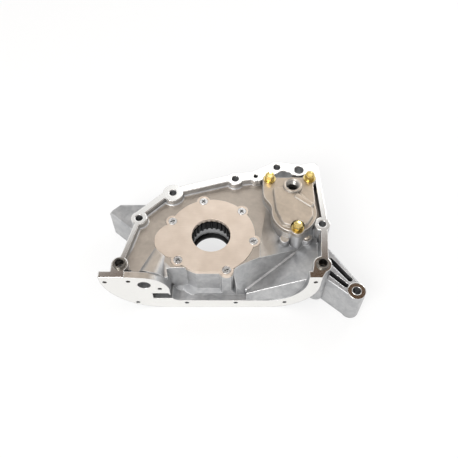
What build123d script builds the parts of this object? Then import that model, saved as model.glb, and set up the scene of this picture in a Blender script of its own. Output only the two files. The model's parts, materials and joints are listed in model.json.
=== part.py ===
from build123d import *
import math
import os

os.makedirs("parts", exist_ok=True)

# Engine oil pump built into a front cover: gerotor on the crank nose, relief valve, crank seal,
# bolted gallery cover and a bracket arm. Millimetres.
# Frame: the origin is on the crank axis in the plane of the block gasket face. +X is to the right
# seen from the block, +Y points away from the sump and +Z points towards the block.

# ---------------------------------------------------------------- levels along Z
FLOOR_Z = -8.6              # floor of the crankcase side
WALL = 6.0                  # general casting wall
FOOT_Z = -74.0              # front edge of the sump rail, the arm and the side block
COVER_TOP_Z = -8.0          # ground top of the pump cover
COVER_T = 5.0               # pump cover thickness
SUMP_FLOOR_Z = -57.0        # inner face of the front wall above the sump
FRONT_WALL = 6.5            # thickness of that wall

# ---------------------------------------------------------------- block bolt pattern
HOLE_A = (-102.0, -44.0)    # dowel sleeve here
HOLE_B = (-85.5, 19.0)
HOLE_C = (-47.5, 56.5)
HOLE_D = (29.0, 78.5)
HOLE_E = (54.5, 82.5)       # small locating hole
HOLE_F = (81.5, 97.0)
HOLE_G = (109.0, 92.5)      # large hole
HOLE_H = (131.0, 10.5)
HOLE_I = (126.5, -44.0)     # dowel sleeve here
CORNER_K = (126.5, 97.0)    # top right corner of the flange, no hole
BOLT_R = 4.5                # M8 clearance
SMALL_R = 2.75
LARGE_R = 6.0
BOSS_R = 9.5
BOSS_C_R = 12.4
BOSS_Z = -27.0              # front end of the bolt columns
BOSS_I_Z = -68.0

# wall stretches: from, to, reach inside the hole line, reach outside it
STRETCHES = (
    (HOLE_A, HOLE_B, 3.0, 2.5),
    (HOLE_B, HOLE_C, -0.4, 8.9),
    (HOLE_C, HOLE_D, 2.0, 7.5),
    (HOLE_D, HOLE_E, 5.0, 8.0),
    (HOLE_E, HOLE_F, 9.0, 8.5),
    (HOLE_F, HOLE_G, 9.0, 9.0),
    (HOLE_G, CORNER_K, 9.0, 7.5),
    (CORNER_K, HOLE_H, -0.5, 7.0),
    (HOLE_H, HOLE_I, 1.5, 6.5),
)

# ---------------------------------------------------------------- sump rail (plane facing -Y)
RAIL_Y = -61.3
RAIL_T = 8.0
RAIL_BACK_Y = RAIL_Y + RAIL_T
RAIL_LEFT = -124.5
RAIL_RIGHT = 125.0
RAIL_R_LEFT = 70.0
RAIL_R_RIGHT = 56.0
WINDOW_RIGHT = 110.7
WINDOW_R_RIGHT = 46.0
WINDOW_LEFT = -47.0
WINDOW_R_LEFT = 12.0
PAD_ARC_START = (-47.5, -28.0)   # (x, z) where the pad's curved shoulder begins
PAD_ARC_MID = (-57.5, -10.0)
PAD_ARC_END = (-78.0, -2.0)
PAD_END = (-100.0, 0.0)
WINDOW_TOP_Z = 5.0          # the window's outline closes above the flange
SUMP_TAP_R = 2.5            # M6 tapping
SUMP_TAP_DEPTH = 14.0
TAP_END = 3.0               # metal left beyond a blind tapping
SIDE_TAP = (118.7, -11.5)   # (x, z), mirrored in x, right through the rail
LOW_TAPS = ((87.5, -61.0), (29.2, -62.5))      # (x, z), mirrored in x, blind

# ---------------------------------------------------------------- suction side
PORT_X = -75.2
PORT_Z = -18.5
PORT_R = 7.6
PORT_BOLTS = ((-92.1, -10.1), (-58.2, -27.3))
GALLERY_R = 16.0            # of the horn at the rail
GALLERY_END_R = 12.5
GALLERY_START = (-69.0, -18.5)   # (x, z) of the suction gallery at the rail
GALLERY_END = (-57.0, -16.0, -19.5)

# ---------------------------------------------------------------- gerotor set
TEETH_IN = 9
TEETH_OUT = TEETH_IN + 1
ECCENTRICITY = 2.9
LOBE_R = 6.5                # radius of each outer lobe
INNER_RIM = 5.0             # metal between the spline bore and the inner rotor's roots
OUTER_RIM = 3.7             # metal outside the outer rotor's pockets
TIP_CLEAR = 0.12
ARCS_PER_TOOTH = 8         # arcs that follow the trochoid, per tooth
ROTOR_T = 14.0
SIDE_CLEAR = 0.03
RUN_CLEAR = 0.06
SPLINES = 24
SPLINE_MAJOR_R = 22.6
SPLINE_MINOR_R = 21.2
SPLINE_TIP_SHARE = 0.6      # tooth half widths, as shares of a quarter pitch
SPLINE_FOOT_SHARE = 1.6
CRANK_HOLE_GAP = 0.3        # hole in the pump cover round the splines
SEAL_THROAT_GAP = 1.4       # hole below the rotors round the splines

# ---------------------------------------------------------------- pump cover and its screws
SCREW_CIRCLE_R = 50.5
SCREW_ANGLES = (101.4, 43.4, -9.3, -68.7, -138.1, 156.6)
SCREW_R = 3.0
SCREW_HEAD_R = 5.5
SCREW_HEAD_T = 3.0
SCREW_LEN = 17.0
COVER_R = 52.0
COVER_BOSS_R = 8.0
COVER_FLAT_Y = -49.4
LOBE_X = -43.0
LOBE_Y = -7.0
LOBE_COVER_R = 23.5
DRUM_FLOOR_T = 9.0
THREAD_GAP = 0.05
DRILL_TIP = 1.5             # a blind hole goes this much deeper than its screw

# ---------------------------------------------------------------- crank seal
SEAL_BOSS_R = 34.0
SEAL_BOSS_Z = -50.0
SEAL_R = 27.0
SEAL_T = 9.0
SEAL_SHEET = 1.2
LIP_R = 20.5
LIP_WEB_T = 2.0             # rubber web on the case's floor
LIP_DROP = 0.5              # below the seal's top
LIP_TOP_IN = 1.2            # the lip's top and foot stand back from its edge
LIP_FOOT_IN = 1.6
LIP_EDGE_DROP = 2.2         # its edge below its top
GARTER_R = 0.9
GARTER_AT = 4.2             # beyond the lip's edge
GARTER_DROP = 2.7           # below the seal's top

# ---------------------------------------------------------------- relief valve
VALVE_X = -57.0
VALVE_Y = -38.0
VALVE_BOSS_R = 13.0
VALVE_BOSS_Z = -66.0
PISTON_R = 8.0
PISTON_TOP_Z = -31.0
PISTON_LEN = 16.0
PISTON_WALL = 2.0
PISTON_CROWN = 3.0
PISTON_REST = 0.1           # gap over the closed piston
VALVE_CLEAR = 0.04
VALVE_PORT_R = 5.0
VALVE_PORT_LEN = 7.0
SPRING_WIRE_R = 0.9
SPRING_COIL_R = 4.6
SPRING_TURNS = 4.5
PLUG_THREAD_R = 10.0
PLUG_THREAD_LEN = 8.0
PLUG_POCKET_R = 6.2
PLUG_POCKET = 5.0
PLUG_WASHER_R = 12.2
PLUG_WASHER_T = 1.2
PLUG_HEX = 19.0
PLUG_HEX_T = 6.0
SLOT_TOP = (-68.0, -50.0, -38.0)      # left x, right x, z of the discharge slot's top edge
SLOT_BOTTOM = (-68.0, -42.0, -51.0)

# ---------------------------------------------------------------- gallery cover and tower
GALLERY_BOLT_1 = (71.0, 72.8)
GALLERY_BOLT_2 = (120.0, 74.0)
GALLERY_BOLT_3 = (100.5, 0.0)
GALLERY_BOLTS = (GALLERY_BOLT_1, GALLERY_BOLT_2, GALLERY_BOLT_3)
GALLERY_SEAT_Z = -0.8       # the gallery cover sits a little below the block face
GASKET_T = 0.6
SEAT_GAP = 0.4              # room round the gallery cover in its seat
FLANGE_TOP_Z = 6.0
DOME_TOP_Z = 11.0
PORT_TOP_Z = 13.5
GALLERY_PORT = (98.0, 59.0)
GALLERY_PORT_R = 7.2
GALLERY_PORT_BOSS_R = 11.5
GALLERY_PORT_CHAMFER = 1.8
COVER_LEFT_X = 72.0
COVER_RIGHT_X = 124.0
COVER_BACK_Y = 75.5
COVER_SHOULDER_Y = 52.0     # the left side swings in from the ear below this
COVER_LEFT_BEND_Y = 27.0
COVER_RIGHT_BEND_Y = 32.0
COVER_TIP_Y = -3.5
COVER_TIP_LEFT = 10.0       # the tip's straight edge reaches this far to the left of its bolt
COVER_TIP_RIGHT = 8.0
COVER_TIP_RISE = 1.0
COVER_LEFT_BULGE = (0.25, 0.36)    # middle of each lower side's arc, as shares of its span
COVER_RIGHT_BULGE = (0.22, 0.36)
TOWER_Z = -36.0
CHAMBER_WALL = 5.5
CHAMBER_Z = -16.0
M6_R = 3.0
WASHER_R = 7.3
WASHER_T = 1.6
SPRING_WASHER_R = 5.9
SPRING_WASHER_T = 1.7
SPRING_WASHER_SPLIT = 0.7
SPRING_WASHER_LEAN = 20     # degrees
BOLT_HEX = 10.0
BOLT_HEAD_T = 5.0
BOLT_LEN = 20.0

# ---------------------------------------------------------------- lower right panels
EDGE_LEFT = (26.0, -45.0, FLOOR_Z)      # edge where the floor breaks down to the sump wall
EDGE_RIGHT = (101.2, -9.6, -26.0)
RIDGE_LEFT = (41.8, -50.4, -48.0)     # foot of that wall
RIDGE_END_X = 100.0
PANEL_NORMAL = (-0.412, 0.113, 1.0)
FLOOR_TILT_X = -0.393
FLOOR_TILT_Y = 0.071
FLOOR_TILT_AT = (70.0, 60.0)

# ---------------------------------------------------------------- bracket arm
ARM_END = (166.6, -65.2)
ARM_END_R = 10.7
ARM_END_HOLE_R = 5.0
ARM_TOP_Z = -24.0
ARM_ROOT_UP = (138.0, -7.0)
ARM_ROOT_LOW = (134.0, -47.5)
ARM_GROOVE_W = 6.0
ARM_GROOVE_Z = -60.0
ARM_GROOVES = (((141.0, -24.5), (160.8, -50.3)), ((137.0, -39.8), (155.4, -57.8)))

# ---------------------------------------------------------------- side block
BLOCK_TOP_Z = -30.0
BLOCK_OUTLINE = ((-129.0, 47.7), (-126.5, 52.5), (-117.0, 61.3), (-72.0, 61.3), (-60.0, 48.0),
                 (-86.0, 10.0), (-93.0, 17.0))

# ---------------------------------------------------------------- small parts
SLEEVE_R = 7.0
SLEEVE_BORE_R = 5.1
SLEEVE_SEAT = 9.0
SLEEVE_PROUD = 2.5
CUP_AT = (113.0, 2.5)
CUP_BOSS_R = 7.0
CUP_BOSS_Z = -15.0
CUP_R = 4.6
CUP_T = 1.0
CUP_LEN = 5.0
CUP_SUNK = 0.5
DRILL_PLUG_R = 6.0
DRILL_PLUG_LEN = 8.0
DRILL_SOCKET = 6.0
DRILL_R = 4.5

# ---------------------------------------------------------------- plan outlines and details of the casting
FRONT_Z = SUMP_FLOOR_Z - FRONT_WALL
SIDE_WALL_Z = -45.0         # depth of the outer side walls
BOSS_E_R = 8.0
BOSS_I_R = 10.3
CORNER_R = 7.5
SUMP_BOSS_R = 5.5
SHOULDER = ((-69.3, -20.9), (-84.8, -6.8))     # edge where the floor breaks down at the left
SHOULDER_NORMAL = (-0.317, -0.349, 0.88)
FLOOR_CORNER = (-46.0, -45.0)   # floor corner between the shoulder and the pump housing
SUMP_SIDE_BACK_Y = 12.0
LEFT_PLAN = ((-106.0, RAIL_Y), (-106.0, -40.0), (-94.0, -6.0), (-66.0, -10.0), (-44.0, -34.0),
             (-44.0, RAIL_Y))
MIDDLE_PLAN = ((-50.0, RAIL_Y), (-50.0, -43.0), (28.0, -43.0), (28.0, RAIL_Y))
RIGHT_PLAN = ((24.0, RAIL_Y), (24.0, -42.0), (98.0, -6.0), (113.0, 10.0), (132.0, 10.0), (135.0, -44.0),
              (126.0, RAIL_Y))
RIGHT_CAVITY_PLAN = ((24.0, RAIL_BACK_Y), (24.0, -45.0), EDGE_RIGHT[:2], (107.0, -3.0), (107.0, 20.0),
                     (127.0, 20.0), (128.0, -30.0), (126.0, RAIL_BACK_Y))
PANEL_FRONT_Y = RAIL_Y + 0.8
PANEL_PLAN = ((RIDGE_LEFT[0], PANEL_FRONT_Y), RIDGE_LEFT[:2], (107.5, -5.8), (107.5, 21.0), (133.0, 21.0),
              (133.0, PANEL_FRONT_Y))
CREASE_POINT = (44.0, -57.1, -48.0)
CREASE_NORMAL = (-0.063, -0.955, 0.292)
LEFT_POCKET_PLAN = ((-92.0, -6.0), SHOULDER[1], SHOULDER[0], (-60.0, -30.0), (-47.0, -40.0),
                    (-47.0, RAIL_BACK_Y), (-103.0, RAIL_BACK_Y), (-100.0, -30.0))
MIDDLE_CUT_LEFT = (-50.0, -44.0)
MIDDLE_CUT_RIGHT = ((20.0, -44.0), (26.0, -47.0), (35.0, RAIL_Y - 1))
SLOPE_PLAN = ((57.0, -31.0), EDGE_RIGHT[:2], (108.0, -2.0), (108.0, 12.0), (73.0, 62.0), (66.0, 64.0),
              (58.0, 10.0))
TOWER_FOOT = ((50.0, -34.0), EDGE_RIGHT[:2], (126.0, -5.0), (126.0, 76.0), (66.0, 76.0), (54.0, 30.0))
RIGHT_FRONT_POCKET = ((54.0, -50.0), (98.0, -20.0), (116.0, -14.0), (116.0, -50.0))
LEFT_FRONT_POCKET = ((-98.0, -50.0), (-92.0, -14.0), (-76.0, -20.0), (-76.0, -50.0))
LEFT_POCKET_TOP = -44.0
VALVE_BOSS_TOP_Z = -22.0
SIDE_COLUMN = (86.5, -4.0)
SIDE_COLUMN_R = 5.5
SIDE_COLUMN_Z = -9.0
COLUMN_R = 8.3
COVER_GAP = 0.25
FRONT_RIB_Z = -45.0
FRONT_RIB_T = 5.0
FRONT_RIB_ANGLES = (20, 80, 140, 200, 260, 320)
PASSAGE_TURN_Y = -50.0
PASSAGE_R = 6.0
INLET_AT = (-51.0, -8.0, -21.0)
INLET_R = 9.0
KIDNEY_OUT = 2.0            # port edges inside the lobe circle
KIDNEY_IN = 8.0
KIDNEY_DEPTH = 5.0
PORT_SPAN = 60.0
POCKET_AT = (90.0, 80.5)
POCKET_R = 10.5
POCKET_TAIL = 2.5
POCKET_TAIL_X = 112.0
POCKET_TAIL_DEPTH = 5.0
ARM_ROOT_IN = (128.0, -40.0)
ARM_CORNER_R = 2.0
ARM_RELIEF = 0.8
ARM_EDGE = 1.8
BLOCK_WALL = 7.0
BLOCK_EDGE = 2.5
BLOCK_RIB = ((-110.0, 20.0), (-90.0, 62.0))
SEAL_CASE_HOLE_R = 23.5
DOME_WALL = 4.0
DOME_CORNERS = ((73.5, 57.5), (75.5, 24.0), (83.0, 3.5), (97.0, -1.0), (112.0, 2.0), (120.5, 15.0),
                (121.0, 30.0), (105.5, 47.0), (101.0, 61.0))
DOME_RADII = (3.5, 14.0, 9.0, 9.0, 9.0, 9.0, 4.0, 6.0, 3.0)
DOME_TAPER = 12.0           # degrees
DOME_EDGE = 1.2             # rounding of its top edge
DOME_RIB = ((106.5, 46.5), (119.0, 31.5))       # raised rib along the dome's upper right edge
DOME_RIB_R = 2.2
BOLT_GAP = 0.3
FLARE = 6.0                 # the pump housing's wall widens by this much at its foot
FLARE_H = 10.0
TRAY_FILLET = 2.5
PAD_LEFT = (-111.5, -96.0)   # x range of the pad between the left dowel boss and the rail
PAD_RIGHT = (112.5, 116.5, 136.0)     # x at the rail's window, and the sides at the right dowel boss
RIDGE_R = 2.2               # rounded ridge between the steep wall and the lower right panel
LEVEL_TOL = 0.01

CENTRE = Align.CENTER
BOTTOM = (CENTRE, CENTRE, Align.MIN)
FAR = 400.0                 # larger than the part, for cutting planes

SEAT_Z = COVER_TOP_Z - COVER_T
LOBE_CIRCLE_R = SPLINE_MAJOR_R + INNER_RIM + LOBE_R + ECCENTRICITY      # circle of the outer lobe centres
POCKET_BOTTOM_R = LOBE_CIRCLE_R - LOBE_R + 2 * ECCENTRICITY
ROTOR_OUT_R = POCKET_BOTTOM_R + OUTER_RIM
CRANK_HOLE_R = SPLINE_MAJOR_R + CRANK_HOLE_GAP
SEAL_THROAT_R = SPLINE_MAJOR_R + SEAL_THROAT_GAP
KIDNEY_R_OUT = LOBE_CIRCLE_R - KIDNEY_OUT
KIDNEY_R_IN = LOBE_CIRCLE_R - KIDNEY_IN
GASKET_TOP_Z = GALLERY_SEAT_Z + GASKET_T
CAVITY_Z = SEAT_Z - ROTOR_T - 2 * SIDE_CLEAR
DRUM_Z = CAVITY_Z - DRUM_FLOOR_T
ROTOR_TOP_Z = SEAT_Z - SIDE_CLEAR
OUTER_CENTRE = (0.0, -ECCENTRICITY)
SEAL_TOP_Z = SEAL_BOSS_Z + SEAL_T


# ================================================================ helpers
def rod(x, y, radius, low, high):
    """Round bar along Z between two levels."""
    return Pos(x, y, low) * Cylinder(radius, high - low, align=BOTTOM)


def prism(points, low, high):
    """Polygon in plan, raised between two levels."""
    return slab(make_face(Polyline(*points, close=True)), low, high)


def slab(face, low, high):
    """Any face drawn in the XY plane, raised between two levels."""
    return Pos(0, 0, low) * extrude(face, high - low, dir=(0, 0, 1))


def rod_y(x, z, radius, y_from, y_to):
    """Round bar along Y."""
    bar = Cylinder(radius, y_to - y_from, align=BOTTOM)
    return Pos(x, y_from, z) * Rot(-90, 0, 0) * bar


def strip(start, end, inside, outside, low, high):
    """Straight wall along a line, reaching to the right (inside) and left (outside) of it."""
    dx = end[0] - start[0]
    dy = end[1] - start[1]
    length = math.hypot(dx, dy)
    turn = math.degrees(math.atan2(dy, dx))
    box = Box(length, inside + outside, high - low, align=Align.MIN)
    return Pos(start[0], start[1], low) * Rot(0, 0, turn) * Pos(0, -inside, 0) * box


def bar_between(start, end, radius):
    """Round bar between two points."""
    a, b = Vector(*start), Vector(*end)
    plane = Plane(origin=a, z_dir=b - a)
    return plane * Cylinder(radius, (b - a).length, align=BOTTOM)


def beyond(point, normal):
    """Everything on the side of a plane that its normal points to."""
    plane = Plane(origin=point, z_dir=normal)
    return plane * Box(FAR, FAR, FAR, align=BOTTOM)


def side_plane(y):
    """Plane facing -Y whose own x and y are the part's X and Z."""
    return Plane(origin=(0, y, 0), x_dir=(1, 0, 0), z_dir=(0, -1, 0))


def polar(radius, degrees):
    angle = math.radians(degrees)
    return radius * math.cos(angle), radius * math.sin(angle)


def join(pieces):
    return pieces[0] + pieces[1:]


def round_edges_at(solid, level, radius):
    """Fillet of every edge that lies in one level."""
    edges = [edge for edge in solid.edges() if abs(edge.bounding_box().min.Z - level) < LEVEL_TOL
             and abs(edge.bounding_box().max.Z - level) < LEVEL_TOL]
    return fillet(edges, radius)


# ================================================================ shared outlines
def rail_outer_face():
    """Outer outline of the sump rail in (x, z)."""
    curve = FilletPolyline(
        (RAIL_LEFT, 0), (RAIL_LEFT, FOOT_Z), (RAIL_RIGHT, FOOT_Z), (RAIL_RIGHT, 0),
        radius=[RAIL_R_LEFT, RAIL_R_RIGHT])
    return make_face([curve, Line((RAIL_RIGHT, 0), (RAIL_LEFT, 0))])


def rail_window_face():
    """Opening of the sump rail in (x, z), with the curved shoulder of the pickup pad."""
    lower = FilletPolyline(
        (WINDOW_RIGHT, 0), (WINDOW_RIGHT, SUMP_FLOOR_Z), (WINDOW_LEFT, SUMP_FLOOR_Z), PAD_ARC_START,
        radius=[WINDOW_R_RIGHT, WINDOW_R_LEFT])
    shoulder = ThreePointArc(PAD_ARC_START, PAD_ARC_MID, PAD_ARC_END)
    rest = Polyline(PAD_ARC_END, PAD_END, (PAD_END[0], WINDOW_TOP_Z), (WINDOW_RIGHT, WINDOW_TOP_Z),
                    (WINDOW_RIGHT, 0))
    return make_face([lower, shoulder, rest])


def pump_cover_face(grow=0.0):
    """Outline of the pump cover: a disc with screw bosses and the inlet lobe, flat towards the sump."""
    face = Circle(COVER_R + grow) + Pos(LOBE_X, LOBE_Y) * Circle(LOBE_COVER_R + grow)
    for angle in SCREW_ANGLES:
        face += Pos(*polar(SCREW_CIRCLE_R, angle)) * Circle(COVER_BOSS_R + grow)
    low = COVER_FLAT_Y - grow
    left, right = polar(SCREW_CIRCLE_R, SCREW_ANGLES[4])[0], polar(SCREW_CIRCLE_R, SCREW_ANGLES[3])[0]
    below = Pos((left + right) / 2, low) * Rectangle(right - left - 2 * COVER_BOSS_R, COVER_R,
                                                     align=(CENTRE, Align.MAX))
    return face - below


def gallery_face(inset=0.0):
    """Outline of the gallery cover without its bolt ears."""
    left = COVER_LEFT_X + inset
    ear = GALLERY_BOLT_1[0] - COLUMN_R + inset
    swing = (COVER_SHOULDER_Y - COVER_LEFT_BEND_Y) / 2
    right = COVER_RIGHT_X - inset
    back = COVER_BACK_Y - inset
    tip = COVER_TIP_Y + inset
    left_end = (GALLERY_BOLT_3[0] - COVER_TIP_LEFT, tip)
    right_end = (GALLERY_BOLT_3[0] + COVER_TIP_RIGHT, tip + COVER_TIP_RISE)
    left_mid = (left + COVER_LEFT_BULGE[0] * (left_end[0] - left),
                tip + COVER_LEFT_BULGE[1] * (COVER_LEFT_BEND_Y - tip))
    right_mid = (right - COVER_RIGHT_BULGE[0] * (right - right_end[0]),
                 tip + COVER_RIGHT_BULGE[1] * (COVER_RIGHT_BEND_Y - tip))
    return make_face([
        Line((GALLERY_BOLT_1[0], back), (ear, GALLERY_BOLT_1[1])),
        Line((ear, GALLERY_BOLT_1[1]), (ear, COVER_SHOULDER_Y)),
        Bezier((ear, COVER_SHOULDER_Y), (ear, COVER_SHOULDER_Y - swing), (left, COVER_LEFT_BEND_Y + swing),
               (left, COVER_LEFT_BEND_Y)),
        ThreePointArc((left, COVER_LEFT_BEND_Y), left_mid, left_end),
        Line(left_end, right_end),
        ThreePointArc(right_end, right_mid, (right, COVER_RIGHT_BEND_Y)),
        Line((right, COVER_RIGHT_BEND_Y), (right, back)),
        Line((right, back), (GALLERY_BOLT_1[0], back)),
    ])


# ================================================================ pump body
def perimeter_bosses(low, high):
    """Round bolt columns of the block flange between two levels."""
    pieces = [rod(*hole, BOSS_R, low, high) for hole in (HOLE_A, HOLE_B, HOLE_D, HOLE_F, HOLE_G, HOLE_H)]
    pieces.append(rod(*HOLE_C, BOSS_C_R, low, high))
    pieces.append(rod(*HOLE_E, BOSS_E_R, low, high))
    pieces.append(rod(*HOLE_I, BOSS_I_R, low, high))
    return pieces


def perimeter_walls(low, high):
    """Straight walls of the block flange between two levels."""
    return [strip(*stretch, low, high) for stretch in STRETCHES]


def flange_solid():
    """Block flange: floor slab, perimeter wall and bolt columns."""
    floor = (HOLE_A, HOLE_B, HOLE_C, HOLE_D, HOLE_E, HOLE_F, HOLE_G, CORNER_K, HOLE_H, HOLE_I,
             EDGE_RIGHT[:2], EDGE_LEFT[:2], FLOOR_CORNER, *SHOULDER)
    pieces = [prism(floor, FLOOR_Z - WALL, 0)]
    pieces += perimeter_walls(FLOOR_Z - WALL, 0)
    pieces += perimeter_bosses(BOSS_Z, 0)
    pieces.append(rod(*CORNER_K, CORNER_R, FLOOR_Z - WALL, 0))
    pieces.append(strip(*STRETCHES[0], SIDE_WALL_Z, FLOOR_Z))
    pieces.append(strip(*STRETCHES[1], SIDE_WALL_Z, FLOOR_Z))
    pieces.append(strip(*STRETCHES[8], SIDE_WALL_Z, FLOOR_Z))
    pieces.append(rod(*HOLE_I, BOSS_I_R, BOSS_I_Z, BOSS_Z))
    return join(pieces)


def above_panel(drop=0.0):
    """Everything above the lower right panel's plane."""
    point = (RIDGE_LEFT[0], RIDGE_LEFT[1], RIDGE_LEFT[2] - drop)
    return beyond(point, PANEL_NORMAL)


def sump_side_solid():
    """Deep lower part of the casting behind the sump rail."""
    silhouette = extrude(side_plane(SUMP_SIDE_BACK_Y) * rail_outer_face(), SUMP_SIDE_BACK_Y - RAIL_Y,
                         dir=(0, -1, 0))
    left = prism(LEFT_PLAN, FRONT_Z, FLOOR_Z)
    middle = prism(MIDDLE_PLAN, FRONT_Z, SEAT_Z)
    right = prism(RIGHT_PLAN, FRONT_Z, 0)
    return silhouette & (left + middle + right)


def rail_solid():
    """Machined sump rail with the tapped bosses behind it."""
    plate = extrude(side_plane(RAIL_BACK_Y) * rail_outer_face(), RAIL_T, dir=(0, -1, 0))
    bosses = [rod_y(x, z, SUMP_BOSS_R, RAIL_Y, RAIL_Y + SUMP_TAP_DEPTH + TAP_END)
              for x, z in mirrored(*LOW_TAPS)]
    return plate + bosses


def mirrored(*places):
    return [(side * x, z) for x, z in places for side in (-1, 1)]


def suction_gallery():
    """Cast horn over the suction passage, narrowing from the rail to the inlet lobe."""
    x0, z0 = GALLERY_START
    start, end = Vector(x0, RAIL_BACK_Y, z0), Vector(*GALLERY_END)
    horn = Cone(GALLERY_R, GALLERY_END_R, (end - start).length, align=BOTTOM)
    return Plane(origin=start, z_dir=end - start) * horn


def suction_passage():
    bore = rod_y(PORT_X, PORT_Z, PORT_R, RAIL_Y - 1, PASSAGE_TURN_Y)
    cross = bar_between((PORT_X, PASSAGE_TURN_Y, PORT_Z), INLET_AT, PASSAGE_R)
    return bore + cross


def drum_solid():
    """Pump housing under the cover, its skirt down to the sump wall and the seal boss."""
    drum = slab(pump_cover_face(), DRUM_Z, SEAT_Z)
    skirt = slab(pump_cover_face(), FRONT_Z, SEAT_Z) & prism(MIDDLE_PLAN, FRONT_Z, SEAT_Z)
    boss = rod(0, 0, SEAL_BOSS_R, SEAL_BOSS_Z, DRUM_Z)
    ribs = [Rot(0, 0, angle) * Pos(SEAL_BOSS_R - 2, 0, FRONT_RIB_Z)
            * Box(COVER_R - SEAL_BOSS_R, FRONT_RIB_T, DRUM_Z - FRONT_RIB_Z,
                  align=(Align.MIN, CENTRE, Align.MIN)) for angle in FRONT_RIB_ANGLES]
    return join([drum, skirt, boss] + ribs)


def tower_solid():
    """Gallery tower under the gallery cover, with its bolt columns."""
    return join(tower_pieces(0) + [prism(TOWER_FOOT, TOWER_Z, FLOOR_Z)])


def tower_pieces(top):
    """Tower up to a level, its bolt columns and the two lower bosses beside it."""
    pieces = [slab(gallery_face(), TOWER_Z, top)]
    pieces.append(rod(*SIDE_COLUMN, SIDE_COLUMN_R, TOWER_Z, SIDE_COLUMN_Z))
    pieces.append(rod(*CUP_AT, CUP_BOSS_R, TOWER_Z, CUP_BOSS_Z))
    return pieces + [rod(*place, COLUMN_R, TOWER_Z, top) for place in GALLERY_BOLTS]


def tower_keep():
    """Tower volume that no cut around it may take."""
    return tower_pieces(1)


def rail_pads():
    """Flat pads that join the two dowel bosses to the ends of the sump rail."""
    left = prism(((PAD_LEFT[0], RAIL_Y), (PAD_LEFT[0], HOLE_A[1]), (PAD_LEFT[1], HOLE_A[1]),
                  (PAD_LEFT[1], RAIL_Y)), BOSS_Z, 0)
    right = prism(((PAD_RIGHT[0], RAIL_Y), (PAD_RIGHT[1], HOLE_I[1]), (PAD_RIGHT[2], HOLE_I[1]),
                   (RAIL_RIGHT, RAIL_Y)), SIDE_TAP[1] + SUMP_TAP_R + 1, 0)
    return [left, right]


def ridge():
    """Rounded ridge where the lower right panel meets the steep wall, ending in a round nose."""
    along = steep_wall_normal().cross(Vector(*PANEL_NORMAL))
    foot = Vector(*RIDGE_LEFT) - Vector(0, 0, RIDGE_R / 2)
    top = foot + along * ((RIDGE_END_X - foot.X) / along.X)
    nose = [Pos(*foot) * Sphere(RIDGE_R), rod(foot.X, foot.Y, RIDGE_R, FRONT_Z, foot.Z)]
    return bar_between(foot, top, RIDGE_R) + nose


def tray_cut():
    """Space inside the perimeter wall, down to the floor."""
    plan = (HOLE_A, HOLE_B, HOLE_C, HOLE_D, HOLE_E, HOLE_F, HOLE_G, CORNER_K, HOLE_H, HOLE_I,
            (HOLE_I[0], RAIL_BACK_Y), (HOLE_A[0], RAIL_BACK_Y))
    keep = perimeter_walls(FLOOR_Z - 1, 2) + perimeter_bosses(FLOOR_Z - 1, 2) + tower_keep()
    keep.append(suction_gallery())
    space = prism(plan, FLOOR_Z, 1) - keep
    foot = [edge for edge in space.edges() if edge.bounding_box().max.Z < FLOOR_Z + LEVEL_TOL
            and on_upper_left_wall(edge.center())]
    return fillet(foot, TRAY_FILLET)


def on_upper_left_wall(point):
    """True along the perimeter wall from the left shoulder to the small hole in the upper wall."""
    return (point.Y > SHOULDER[0][1] and point.X < HOLE_E[0] - BOSS_E_R
            and point.length > COVER_R + COVER_BOSS_R)


def floor_slope_cut():
    """The floor falls away to the right of the pump, towards the tower's foot."""
    point = (FLOOR_TILT_AT[0], FLOOR_TILT_AT[1], FLOOR_Z)
    above = beyond(point, (-FLOOR_TILT_X, -FLOOR_TILT_Y, 1))
    space = prism(SLOPE_PLAN, TOWER_Z, 0) & above
    return space - tower_keep()


def steep_wall_normal():
    """Normal of the steep wall below the floor's break line, pointing into the metal."""
    left, right, foot = (Vector(*point) for point in (EDGE_LEFT, EDGE_RIGHT, RIDGE_LEFT))
    return (right - left).cross(foot - left)


def lower_right_panel():
    """Sloped panel and the facet in front of it, which runs down to the rail's inner edge."""
    return prism(PANEL_PLAN, SUMP_FLOOR_Z, 0) - above_panel() - beyond(CREASE_POINT, CREASE_NORMAL)


def right_cavity_cut():
    """Deep sump space at the lower right: a steep wall, a sloped panel and its front facet."""
    space = prism(RIGHT_CAVITY_PLAN, SUMP_FLOOR_Z, 1)
    behind_wall = beyond(EDGE_LEFT, steep_wall_normal())
    keep = [lower_right_panel()] + tower_keep()
    keep.append(strip(*STRETCHES[7], SUMP_FLOOR_Z, 2))
    keep.append(strip(*STRETCHES[8], SUMP_FLOOR_Z, 2))
    keep.append(rod(*HOLE_H, BOSS_R, SUMP_FLOOR_Z, 2))
    keep.append(rod(*HOLE_I, BOSS_I_R, SUMP_FLOOR_Z, 2))
    return space - behind_wall - keep


def left_pocket_cut():
    """Sloped panel below the shoulder edge, between the left wall and the suction gallery."""
    space = prism(LEFT_POCKET_PLAN, SUMP_FLOOR_Z, 1) & beyond((*SHOULDER[0], FLOOR_Z), SHOULDER_NORMAL)
    keep = [strip(*STRETCHES[0], SUMP_FLOOR_Z, 2), rod(*HOLE_A, BOSS_R, SUMP_FLOOR_Z, 2)]
    keep += [suction_gallery(), slab(pump_cover_face(), SUMP_FLOOR_Z, SEAT_Z)]
    return space - keep


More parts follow.
